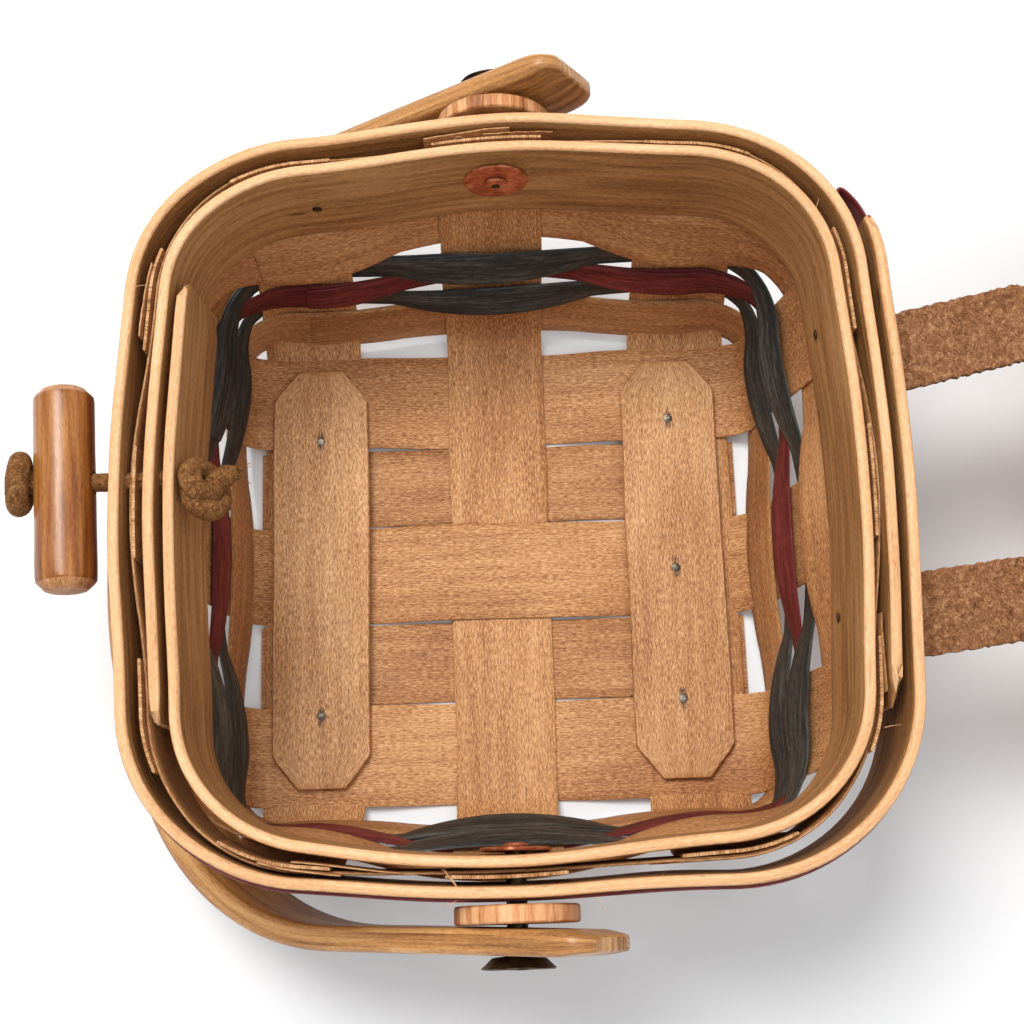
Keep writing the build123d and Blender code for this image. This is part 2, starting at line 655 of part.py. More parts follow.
for side, sx in zip(("left", "right"), STRAP_X):
    with BuildPart() as tab:
        with BuildSketch(Plane.YZ.offset(sx - STRAP_W / 2)):
            Polygon((back_face_low + 0.35, ZB + 0.6), (back_face_low + 0.35 + STRAP_T, ZB + 0.6),
                    (back_face + 0.2 + STRAP_T, HIN_Z - 2.4), (back_face + 0.35, HIN_Z - 2.4), align=None)
        extrude(amount=STRAP_W)
        with BuildSketch(Plane.XZ.offset(-(back_face + 12))):
            with Locations((sx, ZB + 4.4)):
                Circle(1.55)
        extrude(amount=30, mode=Mode.SUBTRACT)
    tab.part.label = "strap_tab_" + side
    export_step(tab.part, "parts/strap_tab_" + side + ".step")
    with BuildPart() as srivet:
        with BuildSketch(Plane.XZ.offset(-(back_face_low + 0.6))):
            with Locations((sx, ZB + 4.4)):
                Circle(1.5)
        extrude(amount=-(STRAP_T + 0.46))
        with BuildSketch(Plane.XZ.offset(-(back_face_low + STRAP_T + 0.98))):
            with Locations((sx, ZB + 4.4)):
                Circle(3.4)
        extrude(amount=-1.2, taper=40)
    srivet.part.label = "strap_rivet_" + side
    export_step(srivet.part, "parts/strap_rivet_" + side + ".step")
    with BuildPart() as link:
        with Locations((sx, HIN_Y + LINK_L / 2, HIN_Z)):
            Box(STRAP_W, LINK_L - 3.6, STRAP_T)
        fillet(link.edges().filter_by(Axis.X), radius=0.8)
    link.part.label = "hinge_strap_" + side
    export_step(link.part, "parts/hinge_strap_" + side + ".step")


# ---------------------------------------------------------------- lid, made closed and then turned back
def lid_ring(d):
    cx, cy, bx, ay, r = LEVELS[H]
    return cx, cy, bx + d, ay + d, r + d


lid_parts = []
LB_IN, LB_OUT = -1.5, 2.2
with BuildPart() as lid_inner:
    with BuildSketch(Plane.XY.offset(LID_Z0)):
        cx, cy, bx, ay, r = lid_ring(LB_IN)
        with Locations((cx, cy)):
            RectangleRounded(2 * bx, 2 * ay, r)
            RectangleRounded(2 * (bx - LID_BAND_T), 2 * (ay - LID_BAND_T), r - LID_BAND_T, mode=Mode.SUBTRACT)
    extrude(amount=104.8 - LID_Z0)
lid_parts.append(("lid_band_inner", lid_inner.part))
with BuildPart() as lid_outer:
    with BuildSketch(Plane.XY.offset(LID_Z0)):
        cx, cy, bx, ay, r = lid_ring(LB_OUT)
        with Locations((cx, cy)):
            RectangleRounded(2 * (bx + LID_BAND_T), 2 * (ay + LID_BAND_T), r + LID_BAND_T)
            RectangleRounded(2 * bx, 2 * ay, r, mode=Mode.SUBTRACT)
    extrude(amount=LID_TOP - LID_Z0)
lid_parts.append(("lid_band_outer", lid_outer.part))

cx, cy, bx, ay, r = lid_ring(1.9)
LID_N = 5
pitch_x, pitch_y = 2 * bx / LID_N, 2 * ay / LID_N
for i in range(LID_N):
    x = cx - bx + pitch_x * (i + 0.5)
    with BuildPart() as splint:
        with BuildSketch(Plane.XY.offset(104.95)):
            with Locations((cx, cy)):
                RectangleRounded(2 * bx, 2 * ay, r)
            with Locations((x, cy)):
                Rectangle(pitch_x - 1.2, 300, mode=Mode.INTERSECT)
        extrude(amount=SPL_T)
    lid_parts.append(("lid_splint_long_" + str(i + 1), splint.part))
for i in range(LID_N):
    y = cy - ay + pitch_y * (i + 0.5)
    with BuildPart() as splint:
        with BuildSketch(Plane.XY.offset(106.05)):
            with Locations((cx, cy)):
                RectangleRounded(2 * bx, 2 * ay, r)
            with Locations((cx, y)):
                Rectangle(300, pitch_y - 1.2, mode=Mode.INTERSECT)
        extrude(amount=SPL_T)
    lid_parts.append(("lid_splint_cross_" + str(i + 1), splint.part))

for side, sx in zip(("left", "right"), STRAP_X):
    with BuildPart() as end:
        with Locations((sx, HIN_Y - 1.9, LID_TOP + 0.1)):
            Box(STRAP_W, 30.0, STRAP_T, align=(Align.CENTER, Align.MAX, Align.MIN))
        fillet(end.edges().filter_by(Axis.Z).group_by(Axis.Y)[0], radius=4.0)
        with BuildSketch(Plane.XY.offset(LID_TOP - 1)):
            with Locations((sx, HIN_Y - 22.0)):
                Circle(1.55)
        extrude(amount=8, mode=Mode.SUBTRACT)
    lid_parts.append(("strap_end_" + side, end.part))
    with BuildPart() as lrivet:
        with BuildSketch(Plane.XY.offset(LID_TOP - 0.45)):
            with Locations((sx, HIN_Y - 22.0)):
                Circle(1.5)
        extrude(amount=STRAP_T + 0.6)
        with BuildSketch(Plane.XY.offset(LID_TOP + STRAP_T + 0.13)):
            with Locations((sx, HIN_Y - 22.0)):
                Circle(3.4)
        extrude(amount=1.1, taper=40)
    lid_parts.append(("lid_rivet_" + side, lrivet.part))

cx, cy, bx, ay, r = lid_ring(LB_OUT + LID_BAND_T)
front = cy - ay
with BuildPart() as loop_:
    with BuildSketch(Plane.XY.offset(LID_Z0 + 0.6)):
        with Locations((TOG_X, front - 0.15)):
            RectangleRounded(26.0, 22.6, 6.0, align=(Align.CENTER, Align.MAX))
        with Locations((TOG_X, PEG_Y)):
            RectangleRounded(17.4, 16.8, 4.0, mode=Mode.SUBTRACT)
    extrude(amount=2.4)
    with Locations((TOG_X, front - 0.15, LID_Z0 + 0.6)):
        Box(12.0, 2.4, 10.0, align=(Align.CENTER, Align.MAX, Align.MIN))
lid_parts.append(("lid_toggle_loop", loop_.part))
with BuildPart() as ltack:
    with BuildSketch(Plane.XZ.offset(-(front - 2.6))):
        with Locations((TOG_X, LID_Z0 + 7.6)):
            Circle(2.2)
    extrude(amount=0.5)
lid_parts.append(("lid_loop_tack", ltack.part))

move = Pos(0, lid_axis_rest[0], lid_axis_rest[1]) * Rot(-LID_FOLD, 0, 0) * Pos(0, -lid_axis_closed[0], -lid_axis_closed[1])
for name, solid in lid_parts:
    with BuildPart() as piece:
        add(move * solid)
    piece.part.label = name
    export_step(piece.part, "parts/" + name + ".step")
print("lid axis rest", lid_axis_rest, "back face", round(back_face, 2), "in face", round(in_face, 2))
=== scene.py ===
import math
import random

import bpy
import numpy as np
from mathutils import Matrix, Vector


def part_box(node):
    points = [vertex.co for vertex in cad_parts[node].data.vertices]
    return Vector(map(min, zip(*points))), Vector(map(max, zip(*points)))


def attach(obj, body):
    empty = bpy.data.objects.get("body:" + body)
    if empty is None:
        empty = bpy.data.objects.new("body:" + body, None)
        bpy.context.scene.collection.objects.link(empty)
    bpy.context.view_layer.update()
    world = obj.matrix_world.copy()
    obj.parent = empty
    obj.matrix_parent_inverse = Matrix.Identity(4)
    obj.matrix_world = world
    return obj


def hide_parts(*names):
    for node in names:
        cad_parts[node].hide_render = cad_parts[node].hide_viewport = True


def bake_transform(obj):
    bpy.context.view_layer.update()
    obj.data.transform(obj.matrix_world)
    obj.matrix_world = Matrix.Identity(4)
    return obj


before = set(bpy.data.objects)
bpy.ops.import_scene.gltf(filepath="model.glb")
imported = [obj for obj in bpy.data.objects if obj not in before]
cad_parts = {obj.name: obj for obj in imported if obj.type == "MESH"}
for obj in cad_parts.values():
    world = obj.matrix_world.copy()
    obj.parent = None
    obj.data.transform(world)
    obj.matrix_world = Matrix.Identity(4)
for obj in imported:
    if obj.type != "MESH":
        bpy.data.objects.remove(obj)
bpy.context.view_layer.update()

MM = 0.001
pi = math.pi

# ------------------------------------------------------------------ part geometry, mm
H, BAND_H, BAND_T, TAPER = 95.0, 32.0, 2.8, 0.07
ZB = H - BAND_H
LEVELS = {0.0: (0.0, 0.0, 71.3, 72.8, 10.0), ZB: (-1.5, 2.0, 90.56, 87.76, 36.0), H: (-1.5, 2.0, 92.8, 90.0, 40.0)}
UP_W, SPL_T, UP_TOP = 28.5, 1.0, 92.0
FB_X, SS_Y = (-52.8, 0.0, 52.8), (-54.5, 0.0, 54.5)
FILL_X, FILL_W = (-26.4, 26.4), 23.0
GAPS = (2.8, 1.65, 2.45, 2.0)          # front, back, left, right
LAP_GAP = 2.1
PIV_Y, PIV_Z, BAIL_CX = 2.0, 80.0, -1.5
TOG_X, TOG_Z = -6.0, 88.0
PEG_Y, PEG_D, PEG_L = -105.0, 14.8, 51.0
STRAP_X = (-35.0, 32.0)
HIN_Y, HIN_Z, LINK_L = 103.6, 73.0, 36.0
LID_FOLD, LID_TOP = 202.0, 107.6


def level(z):
    lo, hi = (0.0, ZB) if z <= ZB else (ZB, H)
    f = (z - lo) / (hi - lo)
    return tuple(a + f * (b - a) for a, b in zip(LEVELS[lo], LEVELS[hi]))


def segs(z):
    cx, cy, bx, ay, r = level(z)
    q = r * pi / 2
    return (2 * (bx - r), q, 2 * (ay - r), q, 2 * (bx - r), q, 2 * (ay - r), q)


BOW = [(-180, -0.6), (-171, -1.4), (-160, -5.4), (-152, -7.8), (-140, -7.0), (-132, -4.9), (-126, -4.2), (-117, -2.9), (-105, -1.0),
       (-94, 0), (-81, -0.6), (-70, -2.3), (-62, -3.9), (-55, -4.4), (-49, -4.6), (-41, -5.3), (-33, -5.7), (-27, -4.2), (-21, -2.0),
       (-10, 0), (0, 0), (6, 0), (14, -1.6), (21, -4.0), (30, -5.2), (45, -4.8), (60, -3.8), (68, -2.4), (77, -1.5), (87, -0.5), (98, -0.7),
       (109, -1.6), (119, -3.4), (130, -4.5), (136, -4.0), (143, -5.0), (151, -5.3), (160, -3.2), (171, -0.4), (180, -0.6)]
_a = np.arange(-180, 181, 1.0)
_d = np.interp(_a, [a for a, _ in BOW], [d for _, d in BOW])
_k = np.exp(-0.5 * (np.arange(-20, 21) / 7.5) ** 2)
_k /= _k.sum()
_d = np.convolve(np.concatenate([_d[-21:-1], _d, _d[1:21]]), _k, "valid")


def bow(x, y, z):
    """The walls are not straight between corners: they bow, more toward the rim."""
    if z < 5:
        return x, y
    cx, cy, bx, ay, r = level(z)
    u, v = (x - cx) / bx, (y - cy) / ay
    rho = (u ** 4 + v ** 4) ** 0.25
    nx, ny = u ** 3 / bx, v ** 3 / ay
    nl = math.hypot(nx, ny) + 1e-12
    nx, ny = nx / nl, ny / nl
    rl = math.hypot(x - cx, y - cy) + 1e-9
    d = float(np.interp(math.degrees(math.atan2(y - cy, x - cx)), _a, _d))
    d *= max(0.3, (nx * (x - cx) + ny * (y - cy)) / rl) * min(1.0, rho) ** 3 * min(1.0, max(0.0, (z - 5) / 50.0)) ** 0.9
    return x + nx * d, y + ny * d


def around(z, s, off):
    x, y = plain(z, s, off)
    return bow(x, y, z)


def plain(z, s, off):
    cx, cy, bx, ay, r = level(z)
    seg = segs(z)
    s = s % sum(seg)
    k = 0
    while s > seg[k] and k < 7:
        s -= seg[k]
        k += 1
    ux, uy = bx - r, ay - r
    if k == 0:
        return (cx - ux + s, cy - ay - off)
    if k == 2:
        return (cx + bx + off, cy - uy + s)
    if k == 4:
        return (cx + ux - s, cy + ay + off)
    if k == 6:
        return (cx - bx - off, cy + uy - s)
    mx, my, a0 = {1: (ux, -uy, -pi / 2), 3: (ux, uy, 0.0), 5: (-ux, uy, pi / 2), 7: (-ux, -uy, pi)}[k]
    a = a0 + s / r
    return (cx + mx + (r + off) * math.cos(a), cy + my + (r + off) * math.sin(a))


def s_at(z, wall, c):
    cx, cy, bx, ay, r = level(z)
    seg = segs(z)
    base = (0.0, seg[0] + seg[1], sum(seg[:4]), sum(seg[:6]))[wall]
    u, d = {0: (bx - r, c - cx), 1: (ay - r, c - cy), 2: (bx - r, -(c - cx)), 3: (ay - r, -(c - cy))}[wall]
    if abs(d) <= u:
        return base + u + d
    e = r * math.asin(min(1.0, (abs(d) - u) / r))
    return base + 2 * u + e if d > 0 else base - e


def smooth(f):
    f = max(0.0, min(1.0, f))
    return f * f * (3 - 2 * f)


def gap_at(z, s):
    x, y = plain(z, s, 0)
    cx, cy, bx, ay, r = level(z)
    a = math.atan2((y - cy) / ay, (x - cx) / bx)
    wx, wy = math.cos(a) ** 2, math.sin(a) ** 2
    gx = GAPS[3] if math.cos(a) > 0 else GAPS[2]
    gy = GAPS[1] if math.sin(a) > 0 else GAPS[0]
    return wx * gx + wy * gy


class Wob:
    """Smooth seeded wander: a sum of sines."""

    def __init__(self, seed, length, n=4):
        r = random.Random(seed)
        self.w = [(2 * pi / (length * r.uniform(0.55, 1.6)), r.uniform(0, 2 * pi), r.uniform(0.5, 1.0)) for _ in range(n)]
        self.k = sum(a for _, _, a in self.w)

    def __call__(self, x):
        return sum(a * np.sin(w * x + p) for w, p, a in self.w) / self.k


# ------------------------------------------------------------------ materials
def lin(c):
    return tuple((v / 255 / 12.92) if v / 255 <= 0.04045 else ((v / 255 + 0.055) / 1.055) ** 2.4 for v in c) + (1.0,)


class Graph:
    def __init__(self, name):
        self.m = bpy.data.materials.new(name)
        self.m.use_nodes = True
        self.t = self.m.node_tree
        self.t.nodes.clear()
        self.out = self.t.nodes.new("ShaderNodeOutputMaterial")
        self.b = self.t.nodes.new("ShaderNodeBsdfPrincipled")
        self.t.links.new(self.b.outputs[0], self.out.inputs[0])

    def n(self, kind, **kw):
        node = self.t.nodes.new(kind)
        for k, v in kw.items():
            setattr(node, k, v)
        return node

    def link(self, a, b):
        self.t.links.new(a, b)

    def coords(self, uv=True):
        if uv:
            return self.n("ShaderNodeUVMap", uv_map="grain").outputs[0]
        return self.n("ShaderNodeTexCoord").outputs["Object"]

    def mapped(self, src, scale, loc=(0, 0, 0)):
        mp = self.n("ShaderNodeMapping")
        mp.inputs["Scale"].default_value = scale
        mp.inputs["Location"].default_value = loc
        self.link(src, mp.inputs[0])
        return mp.outputs[0]

    def noise(self, src, scale, detail=3.0, rough=0.55, dist=0.0):
        t = self.n("ShaderNodeTexNoise")
        t.inputs["Scale"].default_value = scale
        t.inputs["Detail"].default_value = detail
        t.inputs["Roughness"].default_value = rough
        t.inputs["Distortion"].default_value = dist
        self.link(src, t.inputs["Vector"])
        return t.outputs["Fac"]

    def ramp(self, src, stops, mode="LINEAR"):
        r = self.n("ShaderNodeValToRGB")
        r.color_ramp.interpolation = mode
        el = r.color_ramp.elements
        while len(el) < len(stops):
            el.new(0.5)
        for e, (p, c) in zip(el, stops):
            e.position = p
            e.color = c if len(c) == 4 else (*c, 1.0)
        self.link(src, r.inputs[0])
        return r.outputs[0]

    def grey(self, src, a, b, lo=0.0, hi=1.0):
        r = self.n("ShaderNodeMapRange")
        r.inputs["From Min"].default_value = a
        r.inputs["From Max"].default_value = b
        r.inputs["To Min"].default_value = lo
        r.inputs["To Max"].default_value = hi
        self.link(src, r.inputs["Value"])
        return r.outputs["Result"]

    def mix(self, fac, a, b, mode="MIX"):
        x = self.n("ShaderNodeMix", data_type="RGBA", blend_type=mode)
        for sock, v in ((x.inputs[0], fac), (x.inputs[6], a), (x.inputs[7], b)):
            if isinstance(v, (int, float)):
                sock.default_value = v
            elif isinstance(v, tuple):
                sock.default_value = v
            else:
                self.link(v, sock)
        return x.outputs[2]

    def math(self, op, a, b=0.0, c=None):
        x = self.n("ShaderNodeMath", operation=op)
        for i, v in enumerate((a, b) if c is None else (a, b, c)):
            if isinstance(v, (int, float)):
                x.inputs[i].default_value = v
            else:
                self.link(v, x.inputs[i])
        return x.outputs[0]

    def bump(self, height, strength, dist, normal=None):
        x = self.n("ShaderNodeBump")
        x.inputs["Strength"].default_value = strength
        x.inputs["Distance"].default_value = dist
        self.link(height, x.inputs["Height"])
        if normal is not None:
            self.link(normal, x.inputs["Normal"])
        return x.outputs[0]


def wood(name, dark, mid, light, fleck=0.5, streak=0.5, broad=0.5, rough=0.6, coat=0.0, bump=0.35, spots=0.0,
         fine=1.0, stains=None, spec=0.35):
    """Splint and band wood: fine flecks and fibres drawn out along the strip, broad tone changes, open pores."""
    g = Graph(name)
    uv = g.coords()
    f1 = g.noise(g.mapped(uv, (620 * fine, 2700 * fine, 1)), 1.0, 2.5, 0.6, 0.1)      # short flecks
    f2 = g.noise(g.mapped(uv, (26, 420, 1), (3.1, 1.7, 0)), 1.0, 4.0, 0.6, 0.3)          # long streaks
    f3 = g.noise(g.mapped(uv, (9, 34, 1), (7.7, 5.1, 0)), 1.0, 3.0, 0.55, 0.6)           # broad tone
    f4 = g.noise(g.mapped(uv, (150, 3600, 1), (1.3, 9.2, 0)), 1.0, 2.0, 0.5)             # thin fibres
    a = g.math("MULTIPLY", g.grey(f1, 0.3, 0.7, -0.5, 0.5), fleck)
    b = g.math("MULTIPLY", g.grey(f2, 0.3, 0.7, -0.5, 0.5), streak)
    c = g.math("MULTIPLY", g.grey(f3, 0.3, 0.7, -0.5, 0.5), broad)
    d = g.math("MULTIPLY", g.grey(f4, 0.3, 0.7, -0.5, 0.5), 0.3 * fleck)
    v = g.math("ADD", g.math("ADD", a, b), g.math("ADD", c, d))
    v = g.math("ADD", v, 0.5)
    col = g.ramp(v, [(0.0, lin(dark)), (0.5, lin(mid)), (1.0, lin(light))])
    pores = g.noise(g.mapped(uv, (170, 1900, 1), (11.0, 4.0, 0)), 1.0, 1.0, 0.4)
    pore = g.grey(pores, 0.68, 0.76)
    dk = tuple(x * 0.45 for x in lin(dark)[:3]) + (1.0,)
    col = g.mix(g.math("MULTIPLY", pore, 0.55), col, dk)
    if spots:
        sp = g.noise(g.mapped(uv, (60, 190, 1), (5.0, 2.0, 0)), 1.0, 0.0, 0.4)
        col = g.mix(g.math("MULTIPLY", g.grey(sp, 0.80, 0.83), spots), col, dk)
    if stains:
        pos = g.coords(False)
        for p, rx, ry in stains:
            off = g.n("ShaderNodeVectorMath", operation="SUBTRACT")
            off.inputs[1].default_value = p
            g.link(pos, off.inputs[0])
            sc = g.n("ShaderNodeVectorMath", operation="MULTIPLY")
            sc.inputs[1].default_value = (1 / rx, 1 / ry, 0)
            g.link(off.outputs[0], sc.inputs[0])
            ln = g.n("ShaderNodeVectorMath", operation="LENGTH")
            g.link(sc.outputs[0], ln.inputs[0])
            wobbly = g.math("ADD", ln.outputs["Value"], g.grey(f1, 0.3, 0.7, -0.35, 0.35))
            col = g.mix(g.grey(wobbly, 0.35, 1.0, 0.8, 0.0), col, lin((58, 38, 24)))
    g.link(col, g.b.inputs["Base Color"])
    g.link(g.grey(v, 0.0, 1.0, rough + 0.1, rough - 0.08), g.b.inputs["Roughness"])
    g.b.inputs["Specular IOR Level"].default_value = spec
    if coat:
        g.b.inputs["Coat Weight"].default_value = coat
        g.b.inputs["Coat Roughness"].default_value = 0.28
    hgt = g.math("ADD", g.math("MULTIPLY", f1, 0.6), g.math("SUBTRACT", g.math("MULTIPLY", f4, 0.5), g.math("MULTIPLY", pore, 0.5)))
    nrm = g.bump(hgt, bump, 0.00018)
    g.link(nrm, g.b.inputs["Normal"])
    return g.m


def dyed(name, dark, mid, light, rough=0.55, bump=0.5):
    """Dyed splint: colour laid unevenly over visible fibres, worn lighter on the ridges."""
    g = Graph(name)
    uv = g.coords()
    f1 = g.noise(g.mapped(uv, (90, 1700, 1)), 1.0, 4.0, 0.65, 0.1)
    f2 = g.noise(g.mapped(uv, (18, 240, 1), (2.0, 3.0, 0)), 1.0, 3.0, 0.6, 0.4)
    f3 = g.noise(g.mapped(uv, (420, 900, 1), (4.0, 1.0, 0)), 1.0, 2.0, 0.6)
    v = g.math("ADD", g.math("ADD", g.grey(f1, 0.3, 0.7, -0.3, 0.3), g.grey(f2, 0.3, 0.7, -0.25, 0.25)),
               g.math("ADD", g.grey(f3, 0.3, 0.7, -0.12, 0.12), 0.5))
    col = g.ramp(v, [(0.0, lin(dark)), (0.5, lin(mid)), (1.0, lin(light))])
    g.link(col, g.b.inputs["Base Color"])
    g.link(g.grey(f1, 0.3, 0.7, rough + 0.12, rough - 0.1), g.b.inputs["Roughness"])
    g.b.inputs["Specular IOR Level"].default_value = 0.3
    g.link(g.bump(g.math("ADD", f1, g.math("MULTIPLY", f3, 0.3)), bump, 0.00022), g.b.inputs["Normal"])
    return g.m


def suede(name, dark, mid, light, scale=1.0, bump=0.9):
    """Rough split leather: curled fibre clumps, a nap that catches light."""
    g = Graph(name)
    p = g.coords(False)
    f1 = g.noise(g.mapped(p, (900 * scale,) * 3), 1.0, 4.0, 0.7, 1.2)
    f2 = g.noise(g.mapped(p, (330 * scale,) * 3, (4, 2, 1)), 1.0, 3.0, 0.6, 0.8)
    f3 = g.noise(g.mapped(p, (45,) * 3, (1, 7, 3)), 1.0, 2.0, 0.5)
    v = g.math("ADD", g.math("ADD", g.grey(f1, 0.3, 0.7, -0.42, 0.42), g.grey(f2, 0.3, 0.7, -0.16, 0.16)),
               g.math("ADD", g.grey(f3, 0.3, 0.7, -0.08, 0.08), 0.5))
    col = g.ramp(v, [(0.0, lin(dark)), (0.5, lin(mid)), (1.0, lin(light))])
    g.link(col, g.b.inputs["Base Color"])
    g.link(g.grey(f1, 0.3, 0.7, 0.95, 0.8), g.b.inputs["Roughness"])
    g.b.inputs["Sheen Weight"].default_value = 0.35
    g.b.inputs["Sheen Roughness"].default_value = 0.6
    g.b.inputs["Sheen Tint"].default_value = lin(light)
    g.b.inputs["Specular IOR Level"].default_value = 0.15
    g.link(g.bump(g.math("ADD", f1, g.math("MULTIPLY", f2, 1.4)), bump, 0.0006), g.b.inputs["Normal"])
    return g.m


def metal(name, dark, mid, light, rough=0.4, metallic=0.85, bump=0.3, scale=1.0):
    """Tarnished metal: cloudy oxide, fine scratches and hammer marks."""
    g = Graph(name)
    p = g.coords(False)
    f1 = g.noise(g.mapped(p, (260 * scale,) * 3), 1.0, 4.0, 0.65, 0.6)
    f2 = g.noise(g.mapped(p, (1400 * scale, 300 * scale, 1400 * scale)), 1.0, 2.0, 0.6)
    f3 = g.noise(g.mapped(p, (90 * scale,) * 3, (3, 1, 2)), 1.0, 2.0, 0.5)
    v = g.math("ADD", g.math("ADD", g.grey(f1, 0.3, 0.7, -0.35, 0.35), g.grey(f2, 0.3, 0.7, -0.15, 0.15)),
               g.math("ADD", g.grey(f3, 0.3, 0.7, -0.2, 0.2), 0.5))
    col = g.ramp(v, [(0.0, lin(dark)), (0.5, lin(mid)), (1.0, lin(light))])
    g.link(col, g.b.inputs["Base Color"])
    g.link(g.grey(f1, 0.3, 0.7, rough + 0.15, rough - 0.1), g.b.inputs["Roughness"])
    g.b.inputs["Metallic"].default_value = metallic
    g.link(g.bump(g.math("ADD", f1, g.math("MULTIPLY", f2, 0.3)), bump, 0.0003), g.b.inputs["Normal"])
    return g.m


M = {
    "splint": wood("splint_natural", (134, 82, 44), (184, 128, 80), (226, 174, 120), 0.95, 0.3, 0.4, 0.62, bump=0.4),
    "splint_in": wood("splint_natural_dark", (124, 74, 38), (172, 118, 72), (214, 162, 110), 0.9, 0.35, 0.45, 0.62, bump=0.4),
    "splint_edge": wood("splint_cut_edge", (128, 84, 46), (184, 134, 86), (222, 178, 130), 0.9, 0.7, 0.3, 0.7, bump=0.6),
    "gray": dyed("splint_gray", (18, 19, 19), (50, 51, 49), (98, 97, 90)),
    "gray_edge": dyed("splint_gray_edge", (30, 31, 30), (76, 76, 72), (126, 122, 112), 0.65),
    "red": dyed("splint_red", (48, 12, 12), (100, 32, 34), (142, 62, 60)),
    "red_edge": dyed("splint_red_edge", (60, 18, 18), (118, 46, 46), (158, 84, 78), 0.65),
    "trim": dyed("trim_red", (64, 18, 20), (118, 44, 46), (160, 84, 82), 0.5, 0.35),
    "band": wood("band_wood", (116, 76, 38), (162, 114, 66), (196, 148, 96), 0.6, 0.75, 0.5, 0.5, bump=0.3, spots=0.75),
    "band_edge": wood("band_edge", (186, 130, 84), (224, 172, 122), (244, 204, 160), 0.5, 0.4, 0.35, 0.62, bump=0.4, spots=0.3),
    "bail": wood("bail_wood", (124, 78, 36), (178, 122, 66), (212, 160, 100), 0.45, 0.85, 0.6, 0.42, coat=0.25, bump=0.2),
    "spacer": wood("spacer_rim", (128, 70, 34), (196, 132, 82), (226, 172, 122), 0.25, 1.1, 0.5, 0.5, bump=0.25, fine=0.6),
    "spacer_face": wood("spacer_face", (120, 72, 38), (180, 124, 76), (212, 160, 110), 0.6, 0.6, 0.4, 0.55),
    "peg": wood("peg_wood", (84, 40, 12), (136, 76, 28), (178, 118, 58), 0.3, 0.8, 0.7, 0.36, coat=0.3, bump=0.15, spots=0.6),
    "peg_end": wood("peg_end", (120, 70, 34), (176, 116, 68), (214, 158, 108), 0.9, 0.3, 0.5, 0.5, fine=1.4),
    "thong": suede("thong_leather", (58, 32, 16), (116, 74, 40), (176, 130, 80), 1.2, 0.7),
    "strap": suede("strap_leather", (70, 40, 22), (142, 92, 58), (198, 150, 110), 1.0, 1.0),
    "strap_edge": suede("strap_edge", (46, 28, 18), (96, 62, 40), (140, 98, 66), 1.2, 0.8),
    "copper": metal("copper", (112, 50, 28), (180, 98, 64), (228, 156, 116), 0.38, 0.55),
    "bronze": metal("bronze", (22, 16, 11), (58, 44, 30), (104, 84, 58), 0.42, 0.8),
    "tack": metal("steel_tack", (44, 38, 32), (108, 98, 86), (196, 186, 172), 0.38, 0.75, scale=2.0),
}

made = []


# ------------------------------------------------------------------ mesh tools
def add_mesh(name, verts, faces, uvs, mats, mat_ids, sharp=40.0):
    """verts in mm; uvs one pair per face corner, in metres."""
    me = bpy.data.meshes.new(name)
    me.from_pydata([tuple(v) for v in np.asarray(verts) * MM], [], faces)
    lay = me.uv_layers.new(name="grain")
    lay.data.foreach_set("uv", np.asarray(uvs, np.float32).ravel())
    for m in mats:
        me.materials.append(M[m])
    me.polygons.foreach_set("material_index", np.asarray(mat_ids, np.int32))
    me.polygons.foreach_set("use_smooth", np.ones(len(faces), bool))
    me.update()
    me.validate()
    me.set_sharp_from_angle(angle=math.radians(sharp))
    ob = bpy.data.objects.new(name, me)
    bpy.context.scene.collection.objects.link(ob)
    return ob


def settle(ob, body, nodes=()):
    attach(ob, body)
    if nodes:
        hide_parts(*nodes)
    made.append(ob)
    return ob


